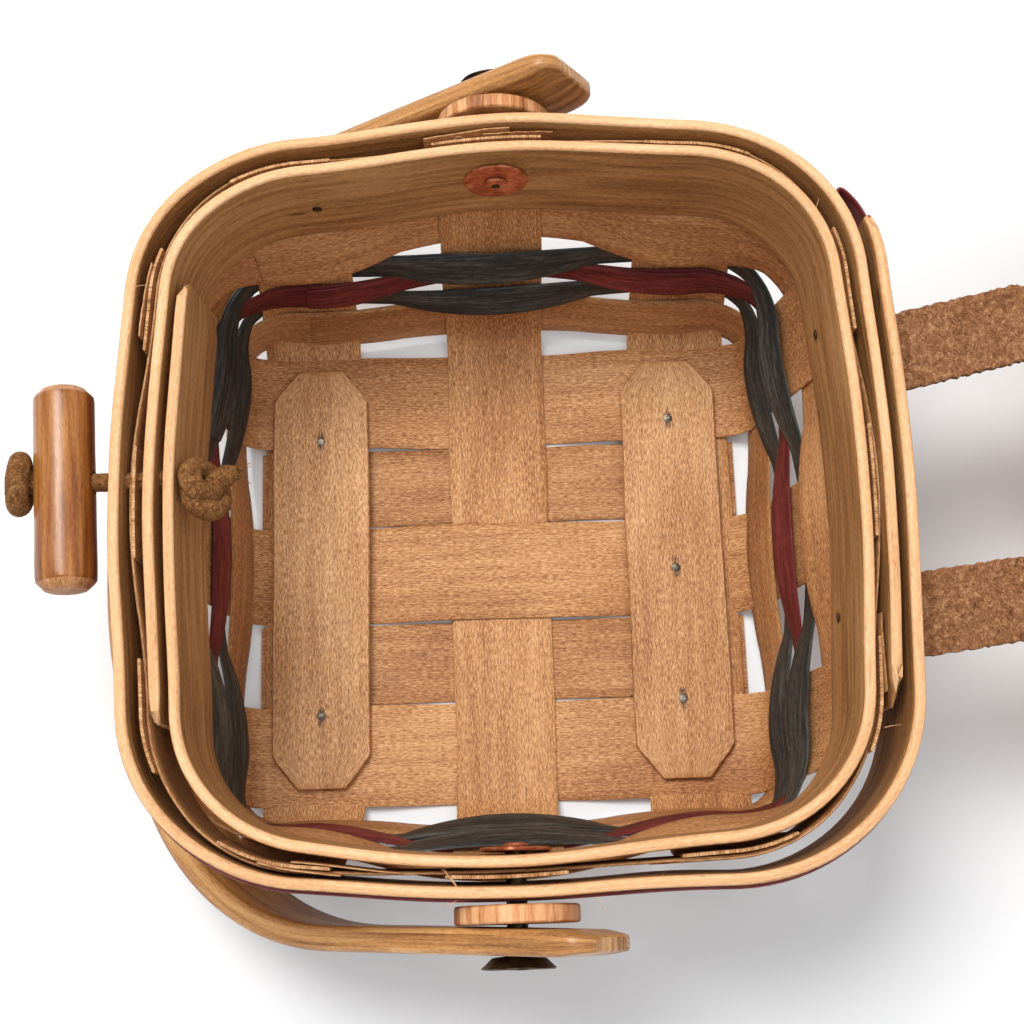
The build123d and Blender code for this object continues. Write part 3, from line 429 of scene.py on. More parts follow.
def ribbon(name, P, t, mat, edge_mat=None, uv0=0.0, closed=False, end_f=0.75, edge_f=0.45, flip=False, sharp=42.0):
    """Solid strip from a grid of middle-surface points, rounded along its long edges."""
    P = np.asarray(P, float)
    n, m = P.shape[:2]
    if closed:
        ext = np.concatenate([P[-1:], P, P[:1]], 0)
        dU = (ext[2:] - ext[:-2]) / 2
    else:
        dU = np.gradient(P, axis=0)
    dV = np.gradient(P, axis=1)
    N = np.cross(dU, dV)
    N /= np.linalg.norm(N, axis=2, keepdims=True) + 1e-12
    if flip:
        N = -N
    T = np.broadcast_to(np.asarray(t, float).reshape(-1, 1) if np.ndim(t) == 1 else np.asarray(t, float), (n, m)).copy()
    T[:, 0] *= edge_f
    T[:, -1] *= edge_f
    if not closed:
        T[0] *= end_f
        T[-1] *= end_f
    top, bot = P + N * T[..., None] / 2, P - N * T[..., None] / 2
    verts = np.concatenate([top.reshape(-1, 3), bot.reshape(-1, 3)])
    U = np.concatenate([[0], np.cumsum(np.linalg.norm(np.diff(P[:, m // 2], axis=0), axis=1))]) * MM + uv0
    Vv = np.concatenate([[0], np.cumsum(np.linalg.norm(np.diff(P[n // 2], axis=0), axis=1))]) * MM
    du_close = np.linalg.norm(P[0, m // 2] - P[-1, m // 2]) * MM
    nm = n * m
    faces, uvs, ids = [], [], []
    rows = n if closed else n - 1
    th = float(np.mean(T)) * MM

    def idx(i, j, k):
        return (i % n) * m + j + k * nm

    for i in range(rows):
        u0 = U[i]
        u1 = U[i + 1] if i + 1 < n else U[i] + du_close
        for j in range(m - 1):
            q = (idx(i, j, 0), idx(i + 1, j, 0), idx(i + 1, j + 1, 0), idx(i, j + 1, 0))
            faces.append(q if not flip else q[::-1])
            c = [(u0, Vv[j]), (u1, Vv[j]), (u1, Vv[j + 1]), (u0, Vv[j + 1])]
            uvs += c if not flip else c[::-1]
            ids.append(0)
            q = (idx(i, j, 1), idx(i, j + 1, 1), idx(i + 1, j + 1, 1), idx(i + 1, j, 1))
            faces.append(q if not flip else q[::-1])
            c = [(u0, Vv[j] + 0.4), (u0, Vv[j + 1] + 0.4), (u1, Vv[j + 1] + 0.4), (u1, Vv[j] + 0.4)]
            uvs += c if not flip else c[::-1]
            ids.append(0)
        for j, rev in ((0, True), (m - 1, False)):
            q = (idx(i, j, 0), idx(i + 1, j, 0), idx(i + 1, j, 1), idx(i, j, 1))
            c = [(u0, 0.8 + j), (u1, 0.8 + j), (u1, 0.8 + j + th), (u0, 0.8 + j + th)]
            r = rev != flip
            faces.append(q[::-1] if r else q)
            uvs += c[::-1] if r else c
            ids.append(1)
    if not closed:
        for i, rev in ((0, False), (n - 1, True)):
            for j in range(m - 1):
                q = (idx(i, j, 0), idx(i, j + 1, 0), idx(i, j + 1, 1), idx(i, j, 1))
                c = [(U[i], Vv[j]), (U[i], Vv[j + 1]), (U[i] + th, Vv[j + 1]), (U[i] + th, Vv[j])]
                r = rev != flip
                faces.append(q[::-1] if r else q)
                uvs += c[::-1] if r else c
                ids.append(1)
    return add_mesh(name, verts, faces, uvs, [mat, edge_mat or mat], ids, sharp)


def cols(w, k=5, e=0.35):
    return np.array([-w / 2, -w / 2 + e, *np.linspace(-w / 2 + w / (k + 1), w / 2 - w / (k + 1), k), w / 2 - e, w / 2])


def lathe(name, prof, origin, axis, mats, ids_of=None, n=56, noise=0.0, seed=1, uv_along=True, sharp=35.0):
    """Turned solid. prof is (distance along axis, radius) from end to end; noise in mm makes it hand-worked."""
    axis = Vector(axis).normalized()
    side = axis.orthogonal().normalized()
    up = axis.cross(side)
    wa, wb = Wob(seed, 2.2), Wob(seed + 7, 3.1)
    verts, faces, uvs, ids = [], [], [], []
    m = len(prof)
    cum = [0.0]
    for a, b in zip(prof, prof[1:]):
        cum.append(cum[-1] + math.hypot(b[0] - a[0], b[1] - a[1]))
    rmax = max(r for _, r in prof)
    for k, (d, r) in enumerate(prof):
        for i in range(n):
            a = 2 * pi * i / n
            rr = r + (noise * (wa(a * 1.0 * rmax / 3 + k * 0.7)) if r > 0.01 else 0)
            dd = d + noise * 0.6 * wb(a * rmax / 3 + k)
            p = Vector(origin) + axis * dd + (side * math.cos(a) + up * math.sin(a)) * rr
            verts.append(p)
    for k in range(m - 1):
        for i in range(n):
            j = (i + 1) % n
            faces.append((k * n + i, k * n + j, (k + 1) * n + j, (k + 1) * n + i))
            ang = [2 * pi * i / n, 2 * pi * (i + 1) / n]
            au, av = ang[0] * rmax * MM, ang[1] * rmax * MM
            c0, c1 = cum[k] * MM, cum[k + 1] * MM
            uvs += [(c0, au), (c0, av), (c1, av), (c1, au)] if uv_along else [(au, c0), (av, c0), (av, c1), (au, c1)]
            ids.append(ids_of(k) if ids_of else 0)
    for k, rev in ((0, True), (m - 1, False)):
        f = [k * n + i for i in range(n)]
        faces.append(tuple(reversed(f)) if rev else tuple(f))
        cs = [(math.cos(2 * pi * i / n) * prof[k][1] * MM, 0.3 + math.sin(2 * pi * i / n) * prof[k][1] * MM) for i in range(n)]
        uvs += list(reversed(cs)) if rev else cs
        ids.append(ids_of(-1) if ids_of else 0)
    return add_mesh(name, np.array([tuple(v) for v in verts]), faces, uvs, mats, ids, sharp)


def catmull(pts, per=10):
    pts = [np.array(p, float) for p in pts]
    pts = [2 * pts[0] - pts[1]] + pts + [2 * pts[-1] - pts[-2]]
    out = []
    for a, b, c, d in zip(pts, pts[1:], pts[2:], pts[3:]):
        for k in range(per):
            t = k / per
            out.append(0.5 * ((2 * b) + (-a + c) * t + (2 * a - 5 * b + 4 * c - d) * t * t + (-a + 3 * b - 3 * c + d) * t ** 3))
    out.append(pts[-2])
    return np.array(out)


def tube(name, path, rad, mat, n=16, noise=0.0, seed=3, cap=1.0, flat=1.0):
    """Round lace along path; rad may vary; noise in mm roughens it."""
    path = np.asarray(path, float)
    m = len(path)
    rad = np.broadcast_to(np.asarray(rad, float), (m,)).copy()
    tan = np.gradient(path, axis=0)
    tan /= np.linalg.norm(tan, axis=1, keepdims=True)
    nrm = np.cross(tan[0], (0.3, 0.2, 1.0))
    nrm /= np.linalg.norm(nrm)
    wa, wb = Wob(seed, 1.6), Wob(seed + 1, 5.0)
    U = np.concatenate([[0], np.cumsum(np.linalg.norm(np.diff(path, axis=0), axis=1))])
    verts, faces, uvs = [], [], []
    for i in range(m):
        nrm = nrm - tan[i] * np.dot(nrm, tan[i])
        nrm /= np.linalg.norm(nrm)
        bi = np.cross(tan[i], nrm)
        for k in range(n):
            a = 2 * pi * k / n
            r = rad[i] * (1 + 0.0) + noise * (wa(U[i] * 2.0 + a * 2.3) + 0.6 * wb(U[i] + a * 1.1))
            verts.append(path[i] + (nrm * math.cos(a) + bi * math.sin(a) * flat) * r)
    for i in range(m - 1):
        for k in range(n):
            j = (k + 1) % n
            faces.append((i * n + k, i * n + j, (i + 1) * n + j, (i + 1) * n + k))
            u0, u1 = U[i] * MM, U[i + 1] * MM
            v0, v1 = k / n * 2 * pi * rad[i] * MM, (k + 1) / n * 2 * pi * rad[i] * MM
            uvs += [(u0, v0), (u0, v1), (u1, v1), (u1, v0)]
    for i, rev in ((0, True), (m - 1, False)):
        f = [i * n + k for k in range(n)]
        faces.append(tuple(reversed(f)) if rev else tuple(f))
        uvs += [(0, 0)] * n
    return add_mesh(name, np.array(verts), faces, uvs, [mat], [0] * len(faces), 60.0)


# ------------------------------------------------------------------ uprights and floor
def floor_height(c_list, levels, x):
    """Height of a floor strip's middle, smooth between crossings."""
    d = UP_W / 2 + 1.0
    if x <= c_list[0] + d:
        return levels[0]
    if x >= c_list[2] - d:
        return levels[2]
    if abs(x - c_list[1]) <= d:
        return levels[1]
    if x < c_list[1]:
        a, b, la, lb = c_list[0] + d, c_list[1] - d, levels[0], levels[1]
    else:
        a, b, la, lb = c_list[1] + d, c_list[2] - d, levels[1], levels[2]
    return la + (lb - la) * smooth((x - a) / (b - a))


def upright(name, axis, c, h_of, node):
    """One splint: up one wall, across the floor, up the other, curved at the foot."""
    walls = (0, 2) if axis == "y" else (3, 1)
    a_cols = cols(UP_W, 9)
    half0 = (72.8 if axis == "y" else 71.3)
    zs = np.concatenate([np.linspace(UP_TOP, 12, 26), [9.5, 7.5, 6.0]])
    wl = Wob(hash_of(name), 60.0)
    wr = Wob(hash_of(name) + 5, 60.0)
    rows = []

    def wall_row(z, wall):
        row = []
        for a in a_cols:
            k = c + a + (0.35 * (wl(z) if a < 0 else wr(z)) if abs(a) > UP_W / 2 - 1 else 0)
            sg = -1 if wall in (2, 3) else 1
            x, y = around(z, s_at(z, wall, k), 0.0)
            row.append((x, y, z))
        return row

    def floor_row(q):
        row = []
        for a in a_cols:
            k = c + a + (0.35 * (wl(q) if a < 0 else wr(q)) if abs(a) > UP_W / 2 - 1 else 0)
            h = h_of(q)
            row.append((k, q, h) if axis == "y" else (q, k, h))
        return row

    for z in zs:
        rows.append(wall_row(z, walls[0]))
    inner = half0 - 4.6
    for q in np.linspace(-inner, inner, 60):
        rows.append(floor_row(q))
    for z in zs[::-1]:
        rows.append(wall_row(z, walls[1]))
    P = np.array(rows)
    # round the foot: pull the rows near each fold toward a smooth curve
    n0 = len(zs)
    for _ in range(3):
        Q = P.copy()
        for i0 in (n0 - 3, n0 + 57):
            for i in range(i0, i0 + 6):
                Q[i] = (P[i - 1] + 2 * P[i] + P[i + 1]) / 4
        P = Q
    P[..., 2] = np.maximum(P[..., 2], 0.5)
    ob = ribbon(name, P, SPL_T, "splint", "splint_edge", uv0=hash_of(name) % 97 * 0.37, flip=(axis == "y"))
    settle(ob, "basket", [node])
    return ob


def hash_of(s):
    h = 7
    for ch in s:
        h = (h * 31 + ord(ch)) % 100003
    return h


LOW, MID, HIGH = 0.5, 1.65, 2.8
fb = {-52.8: (HIGH, LOW, HIGH), 0.0: (LOW, HIGH, LOW), 52.8: (HIGH, LOW, HIGH)}
for node, c in zip(("upright_front_back_left", "upright_front_back_middle", "upright_front_back_right"), FB_X):
    upright("woven_" + node, "y", c, lambda q, c=c: floor_height(SS_Y, fb[c], q), node)


def side_height(c, q):
    """Side-to-side strips lie between the others; the middle one dips under the middle front-back strip."""
    if abs(c) < 1:
        return LOW + (MID - LOW) * smooth((abs(q) - 9.0) / 5.0)
    h = MID
    if abs(q) < 38 and abs(q) > 13:
        h += 0.12
    return h


for node, c in zip(("upright_side_side_front", "upright_side_side_middle", "upright_side_side_back"), SS_Y):
    upright("woven_" + node, "x", c, lambda q, c=c: side_height(c, q), node)

for node, c in zip(("floor_filler_left", "floor_filler_right"), FILL_X):
    w1, w2 = Wob(hash_of(node), 50.0), Wob(hash_of(node) + 3, 50.0)
    rows = []
    for y in np.linspace(-70.2, 70.2, 56):
        a = cols(FILL_W, 6)
        row = []
        for v in a:
            k = c + v + (0.4 * (w1(y) if v < 0 else w2(y)) if abs(v) > FILL_W / 2 - 1 else 0)
            row.append((k, y, LOW))
        rows.append(row)
    ob = ribbon("woven_" + node, rows, SPL_T, "splint_in", "splint_edge", uv0=hash_of(node) % 91 * 0.41, flip=True)
    settle(ob, "basket", [node])

# ------------------------------------------------------------------ weavers
UPRIGHTS = [(0, -52.8), (0, 0.0), (0, 52.8), (1, -54.5), (1, 0.0), (1, 54.5),
            (2, 52.8), (2, 0.0), (2, -52.8), (3, 54.5), (3, 0.0), (3, -54.5)]


def s_of(z, p):
    """Outline position of station p, where whole numbers are the twelve uprights."""
    turns, q = divmod(p, 12.0)
    k = int(q)
    f = q - k
    total = sum(segs(z))
    w0, c0 = UPRIGHTS[k]
    w1, c1 = UPRIGHTS[(k + 1) % 12]
    if w0 == w1:
        return s_at(z, w0, c0 + (c1 - c0) * f) + turns * total
    s0, s1 = s_at(z, w0, c0), s_at(z, w1, c1)
    if s1 < s0:
        s1 += total
    return s0 + (s1 - s0) * f + turns * total


def weave(p, sgn, a_out, a_in):
    c = math.cos(pi * p) * sgn
    v = math.copysign(abs(c) ** 0.85, c)
    return v * (a_out if v > 0 else a_in)


def weaver(name, za, zc, sgn, start, lap, mat, edge, node, a_out=1.75, a_in=2.3, t=0.85, drift=0.95, splay=0.0, seed=0, tilt=0.0, grow=0.0, hot=()):
    p0, p1 = start, start + 12.0 + lap
    n = int((p1 - p0) * 18)
    k = 7
    w1, w2 = Wob(seed + 11, 1.9), Wob(seed + 23, 2.3)
    rows = []
    for i in range(n + 1):
        p = p0 + (p1 - p0) * i / n
        f = i / n
        ends = min(1.0, min(p - p0, p1 - p) / 0.22)
        lo = za + 0.45 * w1(p) + (1 - ends) * 0.8
        hi = zc + 0.45 * w2(p) - (1 - ends) * 1.0
        a_here = a_in + sum(h * math.exp(-(((p - c + 6) % 12 - 6) / 0.75) ** 2) for c, h in hot)
        o = weave(p, sgn, a_out, a_here) - drift * (f - 0.5)
        face = max(0.0, -math.cos(pi * p) * sgn) ** 0.7
        lo -= grow * face
        hi += grow * face
        row = []
        zz = np.concatenate([[lo, lo + 0.3], np.linspace(lo, hi, k + 2)[1:-1], [hi - 0.3, hi]])
        mid = (lo + hi) / 2
        for z in zz:
            cup = 0.16 * ((z - mid) / (hi - lo) * 2) ** 2
            lean = tilt * face * ((z - mid) / (hi - lo))
            row.append((*around(z, s_of(z, p), o + cup + lean), z))
        rows.append(row)
    ob = ribbon(name, rows, t, mat, edge, uv0=hash_of(name) % 83 * 0.43)
    settle(ob, "basket", [node])
    return ob


weaver("woven_weaver_1_natural", 4.4, 21.0, 1, 8.6, 2.4, "splint_in", "splint_edge", "weaver_1_natural", a_out=1.35, a_in=1.8, drift=0.5, seed=1, tilt=0.3, grow=0.1)
weaver("woven_weaver_2_gray", 21.5, 28.2, -1, 3.4, 1.2, "gray", "gray_edge", "weaver_2_gray", a_in=3.9, seed=2, tilt=2.2, grow=0.9)
weaver("woven_weaver_3_red", 28.6, 35.2, 1, 8.4, 2.6, "red", "red_edge", "weaver_3_red", a_in=3.0, seed=3, tilt=1.6, grow=0.8)
weaver("woven_weaver_4_gray", 35.6, 42.9, -1, 10.0, 2.4, "gray", "gray_edge", "weaver_4_gray", a_in=4.0, seed=4, tilt=2.4, grow=1.1)
weaver("woven_weaver_5_natural", 45.4, 62.4, 1, 8.8, 2.5, "splint", "splint_edge", "weaver_5_natural", a_in=2.5, seed=5, tilt=1.8, grow=0.8, hot=((9, 3.4), (11, 3.4), (3, 1.6), (5, 1.6)))
weaver("woven_weaver_6_rim", 66.0, 90.0, -1, 4.6, 1.0, "splint_in", "splint_edge", "weaver_6_rim", a_out=1.15, a_in=1.15, t=0.8, drift=0.3, seed=6)


# ------------------------------------------------------------------ rim bands
def inner_off(z, s, f):
    lap = smooth((f - 0.13) / 0.13)
    return -(gap_at(z, s) + BAND_T / 2) - (1 - lap) * (BAND_T + LAP_GAP)


def outer_off(z, s, f):
    lap = smooth((f - 0.17) / 0.13)
    return gap_at(z, s) + BAND_T / 2 + (1 - lap) * (BAND_T + LAP_GAP)


def band(name, node, span, off_of, seed, taper0, taper1, chamfer0=0.0, chamfer1=0.0):
    n = 260
    w1, w2 = Wob(seed, 90.0), Wob(seed + 3, 45.0)
    zs = np.array([ZB, ZB + 0.35, ZB + 0.9, *np.linspace(ZB + 4, H - 4, 7), H - 0.9, H - 0.35, H])
    rows, th = [], []
    for k in range(n + 1):
        f = k / n
        row = []
        dist0, dist1 = None, None
        for z in zs:
            sa, sb = span(z)
            s = sa + (sb - sa) * f
            if dist0 is None:
                dist0, dist1 = abs(sb - sa) * f, abs(sb - sa) * (1 - f)
            o = off_of(z, s, f) + 0.12 * w2(s)
            x, y = around(z, s, o)
            zz = z + (0.22 * w1(s) if z > H - 2 else 0.15 * w1(s + 40) if z < ZB + 2 else 0)
            row.append((x, y, zz))
        t = BAND_T * min(1.0, taper0 + (1 - taper0) * dist0 / 7.0) * min(1.0, taper1 + (1 - taper1) * dist1 / 7.0)
        # clipped corners at the ends
        for d, ch in ((dist0, chamfer0), (dist1, chamfer1)):
            if ch and d < ch:
                cut = ch - d
                row = [(x, y, min(max(z, ZB + cut * 0.6 * (z < ZB + 16)), H - cut * (z > ZB + 16))) for x, y, z in row]
        rows.append(row)
        th.append(t)
    P = np.array(rows)
    T = np.array(th).reshape(-1, 1) * np.ones((1, len(zs)))
    T[:, 1] *= 0.80
    T[:, -2] *= 0.82
    T[:, 2] *= 0.97
    T[:, -3] *= 0.97
    ob = ribbon(name, P, T, "band", "band_edge", uv0=seed * 0.61, edge_f=0.5, end_f=0.9)
    # the sanded rim: upper faces take the pale edge finish
    me = ob.data
    nz = np.array([p.normal.z for p in me.polygons])
    cz = np.array([p.center.z for p in me.polygons])
    ids = np.array([p.material_index for p in me.polygons])
    ids[(nz > 0.35) & (cz > (H - 2.5) * MM)] = 1
    me.polygons.foreach_set("material_index", ids.astype(np.int32))
    settle(ob, "basket", [node])
    return ob


def inner_span(z):
    total = sum(segs(z))
    return s_at(z, 0, -58.0), s_at(z, 0, 55.0) + total


def outer_span(z):
    total = sum(segs(z))
    return s_at(z, 2, -66.0) + total, s_at(z, 2, 55.0)


band("lapped_band_inner", "rim_band_inner", inner_span, inner_off, 5, 0.45, 0.6, 6.0, 3.0)
band("lapped_band_outer", "rim_band_outer", outer_span, outer_off, 9, 0.8, 0.35, 1.5, 7.0)

# coloured trim strip, with the fold that wraps the end of the outer layer
TRIM_T, TRIM_Z0, TRIM_H = 0.9, 79.0, 9.5


def trim_grid(ks, n):
    rows = []
    zs = [TRIM_Z0, TRIM_Z0 + 0.25, *np.linspace(TRIM_Z0 + 1.5, TRIM_Z0 + TRIM_H - 1.5, 4), TRIM_Z0 + TRIM_H - 0.25, TRIM_Z0 + TRIM_H]
    for i in range(n + 1):
        f = ks[0] + (ks[1] - ks[0]) * i / n
        row = []
        for z in zs:
            sa, sb = outer_span(z)
            s = sa + (sb - sa) * f
            row.append((*around(z, s, outer_off(z, s, f) + BAND_T / 2 + 0.55), z))
        rows.append(row)
    return rows, zs


rows, zs = trim_grid((1 / 72, 66 / 72), 240)
ob = ribbon("trim_strip_round", rows, 0.8, "trim", "trim", uv0=1.3)
settle(ob, "basket", ["rim_trim_strip"])
# the folded tongue past the outer layer's end: out between the layers, round in a pointed loop, back on the face
fold = []
for z in zs:
    sa, sb = outer_span(z)
    s_end = sa
    d = -1 if sb > sa else 1
    o_mid = outer_off(z, s_end, 0.0)
    path = [(-34.0, -2.4), (-20.0, -2.5), (-6.0, -2.9), (0.5, -3.0), (5.0, -2.5), (9.0, -1.1), (10.2, 0.2), (9.2, 1.2),
            (5.4, 1.9), (1.0, 2.05), (-2.5, BAND_T / 2 + 0.62), (-9.0, BAND_T / 2 + 0.55),
            (-16.0, BAND_T / 2 + 0.5)]
    path = catmull([(a, b, 0) for a, b in path], 6)
    fold.append([(*around(z, s_end + d * a, o_mid + b), z) for a, b, _ in path])
fold = np.array(fold).transpose(1, 0, 2)
ob = ribbon("trim_strip_fold", fold, 0.75, "trim", "trim", uv0=2.1)
settle(ob, "basket")

# ------------------------------------------------------------------ floor slats and brads
BRADS = {"front": (40.0, -41.5), "back": (44.0, -1.5, -39.5)}
for side, c in (("front", SS_Y[0] + 2.2), ("back", SS_Y[2] - 3.6)):
    rows = []
    L, W, ch, cw = 124.0, 28.0, 9.0, 7.2
    M["slat_" + side] = wood("slat_wood_" + side, (142, 90, 50), (192, 138, 88), (232, 182, 130), 0.95, 0.3, 0.35, 0.55, bump=0.45,
                             stains=[((-v * MM, c * MM, 0), 0.0042, 0.0013) for v in BRADS[side]])
    w1, w2 = Wob(hash_of(side), 70.0), Wob(hash_of(side) + 9, 70.0)
    xs = np.concatenate([[-L / 2, -L / 2 + 0.4], np.linspace(-L / 2 + 1.5, L / 2 - 1.5, 62), [L / 2 - 0.4, L / 2]])
    for x in xs:
        d = L / 2 - abs(x)
        half = W / 2 - max(0.0, 1 - d / ch) * cw
        base = cols(2 * half, 9)
        row = []
        for a in base:
            k = a + (0.3 * (w1(x) if a < 0 else w2(x)) if abs(a) > half - 0.8 else 0)
            row.append((x, c + k, 3.4 + 1.3 + 0.18 * math.cos(pi * x / L) - 0.12 * (a / 14) ** 2))
        rows.append(row)
    ob = ribbon("slat_" + side, rows, 2.45, "slat_" + side, "splint_edge", uv0=hash_of(side) % 71 * 0.4, edge_f=0.6, end_f=0.8)
    settle(ob, "basket", ["floor_slat_" + side])
    for i, v in enumerate(BRADS[side]):
        z0 = 5.95 + 0.1
        prof = [(-1.6, 0.5), (-0.1, 0.85), (0.0, 1.15), (0.16, 1.3), (0.34, 1.2), (0.46, 0.8), (0.5, 0.3)]
        ob = lathe("brad_%s_%d" % (side, i + 1), prof, (-v, c, z0 - 0.05), (0.05, 0.03, 1), ["tack"], n=20, noise=0.06, seed=i + 3)
        settle(ob, "basket", ["floor_brad_%s_%d" % (side, i + 1)])

# tacks in the inner band
for node in ("rim_tack_back_left", "rim_tack_back_right", "rim_tack_left"):
    lo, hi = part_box(node)
    mid = (lo + hi) / 2 / MM
    bx_, by_ = bow(mid.x, mid.y, mid.z)
    mid = Vector((bx_, by_, mid.z))
    inward = Vector((1, 0, 0)) if node == "rim_tack_left" else Vector((0, -1, 0))
    prof = [(-0.5, 0.5), (-0.1, 1.0), (0.0, 1.3), (0.2, 1.25), (0.36, 0.8), (0.4, 0.25)]
    ob = lathe("nail_" + node[4:], prof, tuple(mid - inward * 0.15), tuple(inward), ["bronze"], n=18, noise=0.08, seed=hash_of(node))
    settle(ob, "basket", [node])

# ------------------------------------------------------------------ bail
BH, BT, BW, TAIL = 106.7, 6.3, 24.5, 25.0
TOE, DOWN, LS, RS, D1 = math.radians(2.5), math.radians(33.0), 48.0, 70.0, math.radians(60.0)


def bail_path():
    """Centre line in the bail's plane, from one tail to the other, with its outward normals."""
    xs = BH - LS * math.tan(TOE)
    csx, csy = xs - RS * math.cos(TOE), LS - RS * math.sin(TOE)
    rc = RS + csx / math.cos(D1)
    lc = csy + RS * math.sin(D1) - rc * math.sin(D1)
    half = []
    for k in range(31):
        L = -TAIL + (LS + TAIL) * (k / 30)
        if k < 10:
            L = -TAIL + 9.0 * (k / 10) ** 1.3
        else:
            L = -TAIL + 9.0 + (LS + TAIL - 9.0) * (k - 10) / 20
        half.append((BH - L * math.tan(TOE), -L, math.cos(TOE), -math.sin(TOE)))
    for k in range(1, 25):
        d = TOE + (D1 - TOE) * k / 24
        half.append((csx + RS * math.cos(d), -(csy + RS * math.sin(d)), math.cos(d), -math.sin(d)))
    for k in range(1, 21):
        d = D1 + (pi / 2 - D1) * k / 20
        half.append((rc * math.cos(d), -(lc + rc * math.sin(d)), math.cos(d), -math.sin(d)))
    other = [(-x, y, -nx, ny) for x, y, nx, ny in half[:-1][::-1]]
    return half + other


ex, ey = Vector((1, 0, 0)), Vector((0, math.cos(DOWN), math.sin(DOWN)))
ez = Vector((0, -math.sin(DOWN), math.cos(DOWN)))
org = Vector((BAIL_CX, PIV_Y, PIV_Z))
bp = bail_path()
dist = [0.0]
for a, b in zip(bp, bp[1:]):
    dist.append(dist[-1] + math.hypot(a[0] - b[0], a[1] - b[1]))
rows, th = [], []
wv, wt = Wob(71, 120.0), Wob(72, 90.0)
for (x, y, nx, ny), d in zip(bp, dist):
    e = min(d, dist[-1] - d)
    rr = 5.5
    half = BW / 2 - (rr - math.sqrt(max(0.0, rr * rr - (rr - e) ** 2)) if e < rr else 0.0)
    half += 0.2 * wv(d)
    row = []
    for a in (-1, -0.955, -0.88, -0.6, -0.3, 0, 0.3, 0.6, 0.88, 0.955, 1):
        p = org + ex * x + ey * y + ez * (a * half)
        row.append(tuple(p))
    rows.append(row)
    th.append((BT - 0.15 + 0.15 * wt(d)) * (0.62 + 0.38 * smooth(e / 9.0) if e < 9 else 1.0))
T = np.array(th).reshape(-1, 1) * np.array([[1, 0.86, 0.985, 1, 1, 1, 1, 1, 0.985, 0.86, 1]])
ob = ribbon("bent_bail", rows, T, "bail", "bail", uv0=0.7, edge_f=0.55, end_f=0.75, flip=True)
settle(ob, "bail", ["bail_handle"])

for side, sx in (("left", -1), ("right", 1)):
    lo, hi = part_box("bail_spacer_" + side)
    xi, xo = (hi.x / MM, lo.x / MM) if sx < 0 else (lo.x / MM, hi.x / MM)
    w = abs(xo - xi)
    r = 29.5 / 2
    prof = [(0.0, 2.7), (0.0, r - 0.9), (0.12, r - 0.35), (0.5, r), (w * 0.5, r + 0.05), (w - 0.5, r), (w - 0.12, r - 0.35), (w, r - 0.9), (w, 2.7)]
    ob = lathe("turned_spacer_" + side, prof, (xi, PIV_Y, PIV_Z), (sx, 0, 0), ["spacer", "spacer_face"],
               ids_of=lambda k: 0 if k in (2, 3, 4, 5) else 1, n=72, noise=0.05, seed=31 + sx)
    settle(ob, "basket", ["bail_spacer_" + side])
    lo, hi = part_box("rivet_washer_" + side)
    xi, xo = (hi.x / MM, lo.x / MM) if sx > 0 else (lo.x / MM, hi.x / MM)
    prof = [(0.0, 2.6), (0.0, 7.9), (0.2, 8.4), (0.55, 8.5), (0.85, 8.3), (1.0, 7.8), (0.92, 5.2), (0.98, 3.6), (1.0, 2.6)]
    ob = lathe("copper_washer_" + side, prof, (xi, PIV_Y, PIV_Z), (-sx, 0.012, 0.02), ["copper"], n=60, noise=0.09, seed=41 + sx)
    settle(ob, "basket", ["rivet_washer_" + side])
    lo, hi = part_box("bail_rivet_" + side)
    xout, xin = (lo.x / MM, hi.x / MM) if sx < 0 else (hi.x / MM, lo.x / MM)
    L = abs(xout - xin)
    # peened tip inside, shank, dished cone outside
    prof = [(0.0, 1.2), (0.05, 2.0), (0.35, 2.75), (0.85, 3.0), (1.12, 2.5), (L - 3.2, 2.45), (L - 2.9, 5.6), (L - 2.7, 6.3),
            (L - 0.95, 8.15), (L - 0.6, 8.7), (L - 0.35, 8.75), (L - 0.1, 8.3), (L - 0.15, 6.0), (L - 0.3, 2.5)]
    ob = lathe("bail_rivet_set_" + side, prof, (xin, PIV_Y, PIV_Z), (sx, 0, 0), ["bronze", "copper"],
               ids_of=lambda k: 1 if k in (0, 1, 2, 3) else 0, n=48, noise=0.1, seed=51 + sx)
    settle(ob, "basket", ["bail_rivet_" + side])

# ------------------------------------------------------------------ toggle
r = PEG_D / 2
prof = [(0.0, 0.6), (0.02, 3.4), (0.1, 4.6), (0.35, 5.3), (1.2, 6.1), (2.05, 6.95), (2.5, 7.28), (3.4, 7.38), (8, r), (16, r - 0.05), (25.5, r + 0.02),
        (36, r - 0.05), (44, r), (47.6, 7.36), (48.5, 7.28), (48.95, 6.95), (49.8, 6.1), (50.65, 5.3), (50.9, 4.6), (50.98, 3.4), (51.0, 0.6)]
peg = lathe("turned_peg", prof, (TOG_X - PEG_L / 2 + 1.4, PEG_Y - 1.3, TOG_Z), (1, 0.052, 0), ["peg", "peg_end"],
            ids_of=lambda k: 1 if (k < 5 or k > 14) else 0, n=72, noise=0.06, seed=61)
cut = lathe("peg_cutter", [(0, 2.85), (0.5, 2.85), (23.5, 2.85), (24, 2.85)], (TOG_X, PEG_Y + 12, TOG_Z), (0, -1, 0), ["peg"], n=32)
md = peg.modifiers.new("hole", "BOOLEAN")
md.operation, md.object, md.solver = "DIFFERENCE", cut, "EXACT"
dg = bpy.context.evaluated_depsgraph_get()
drilled = bpy.data.meshes.new_from_object(peg.evaluated_get(dg))
peg.modifiers.clear()
peg.data = drilled
bpy.data.objects.remove(cut)
peg.data.set_sharp_from_angle(angle=math.radians(32))
settle(peg, "peg", ["toggle_peg"])

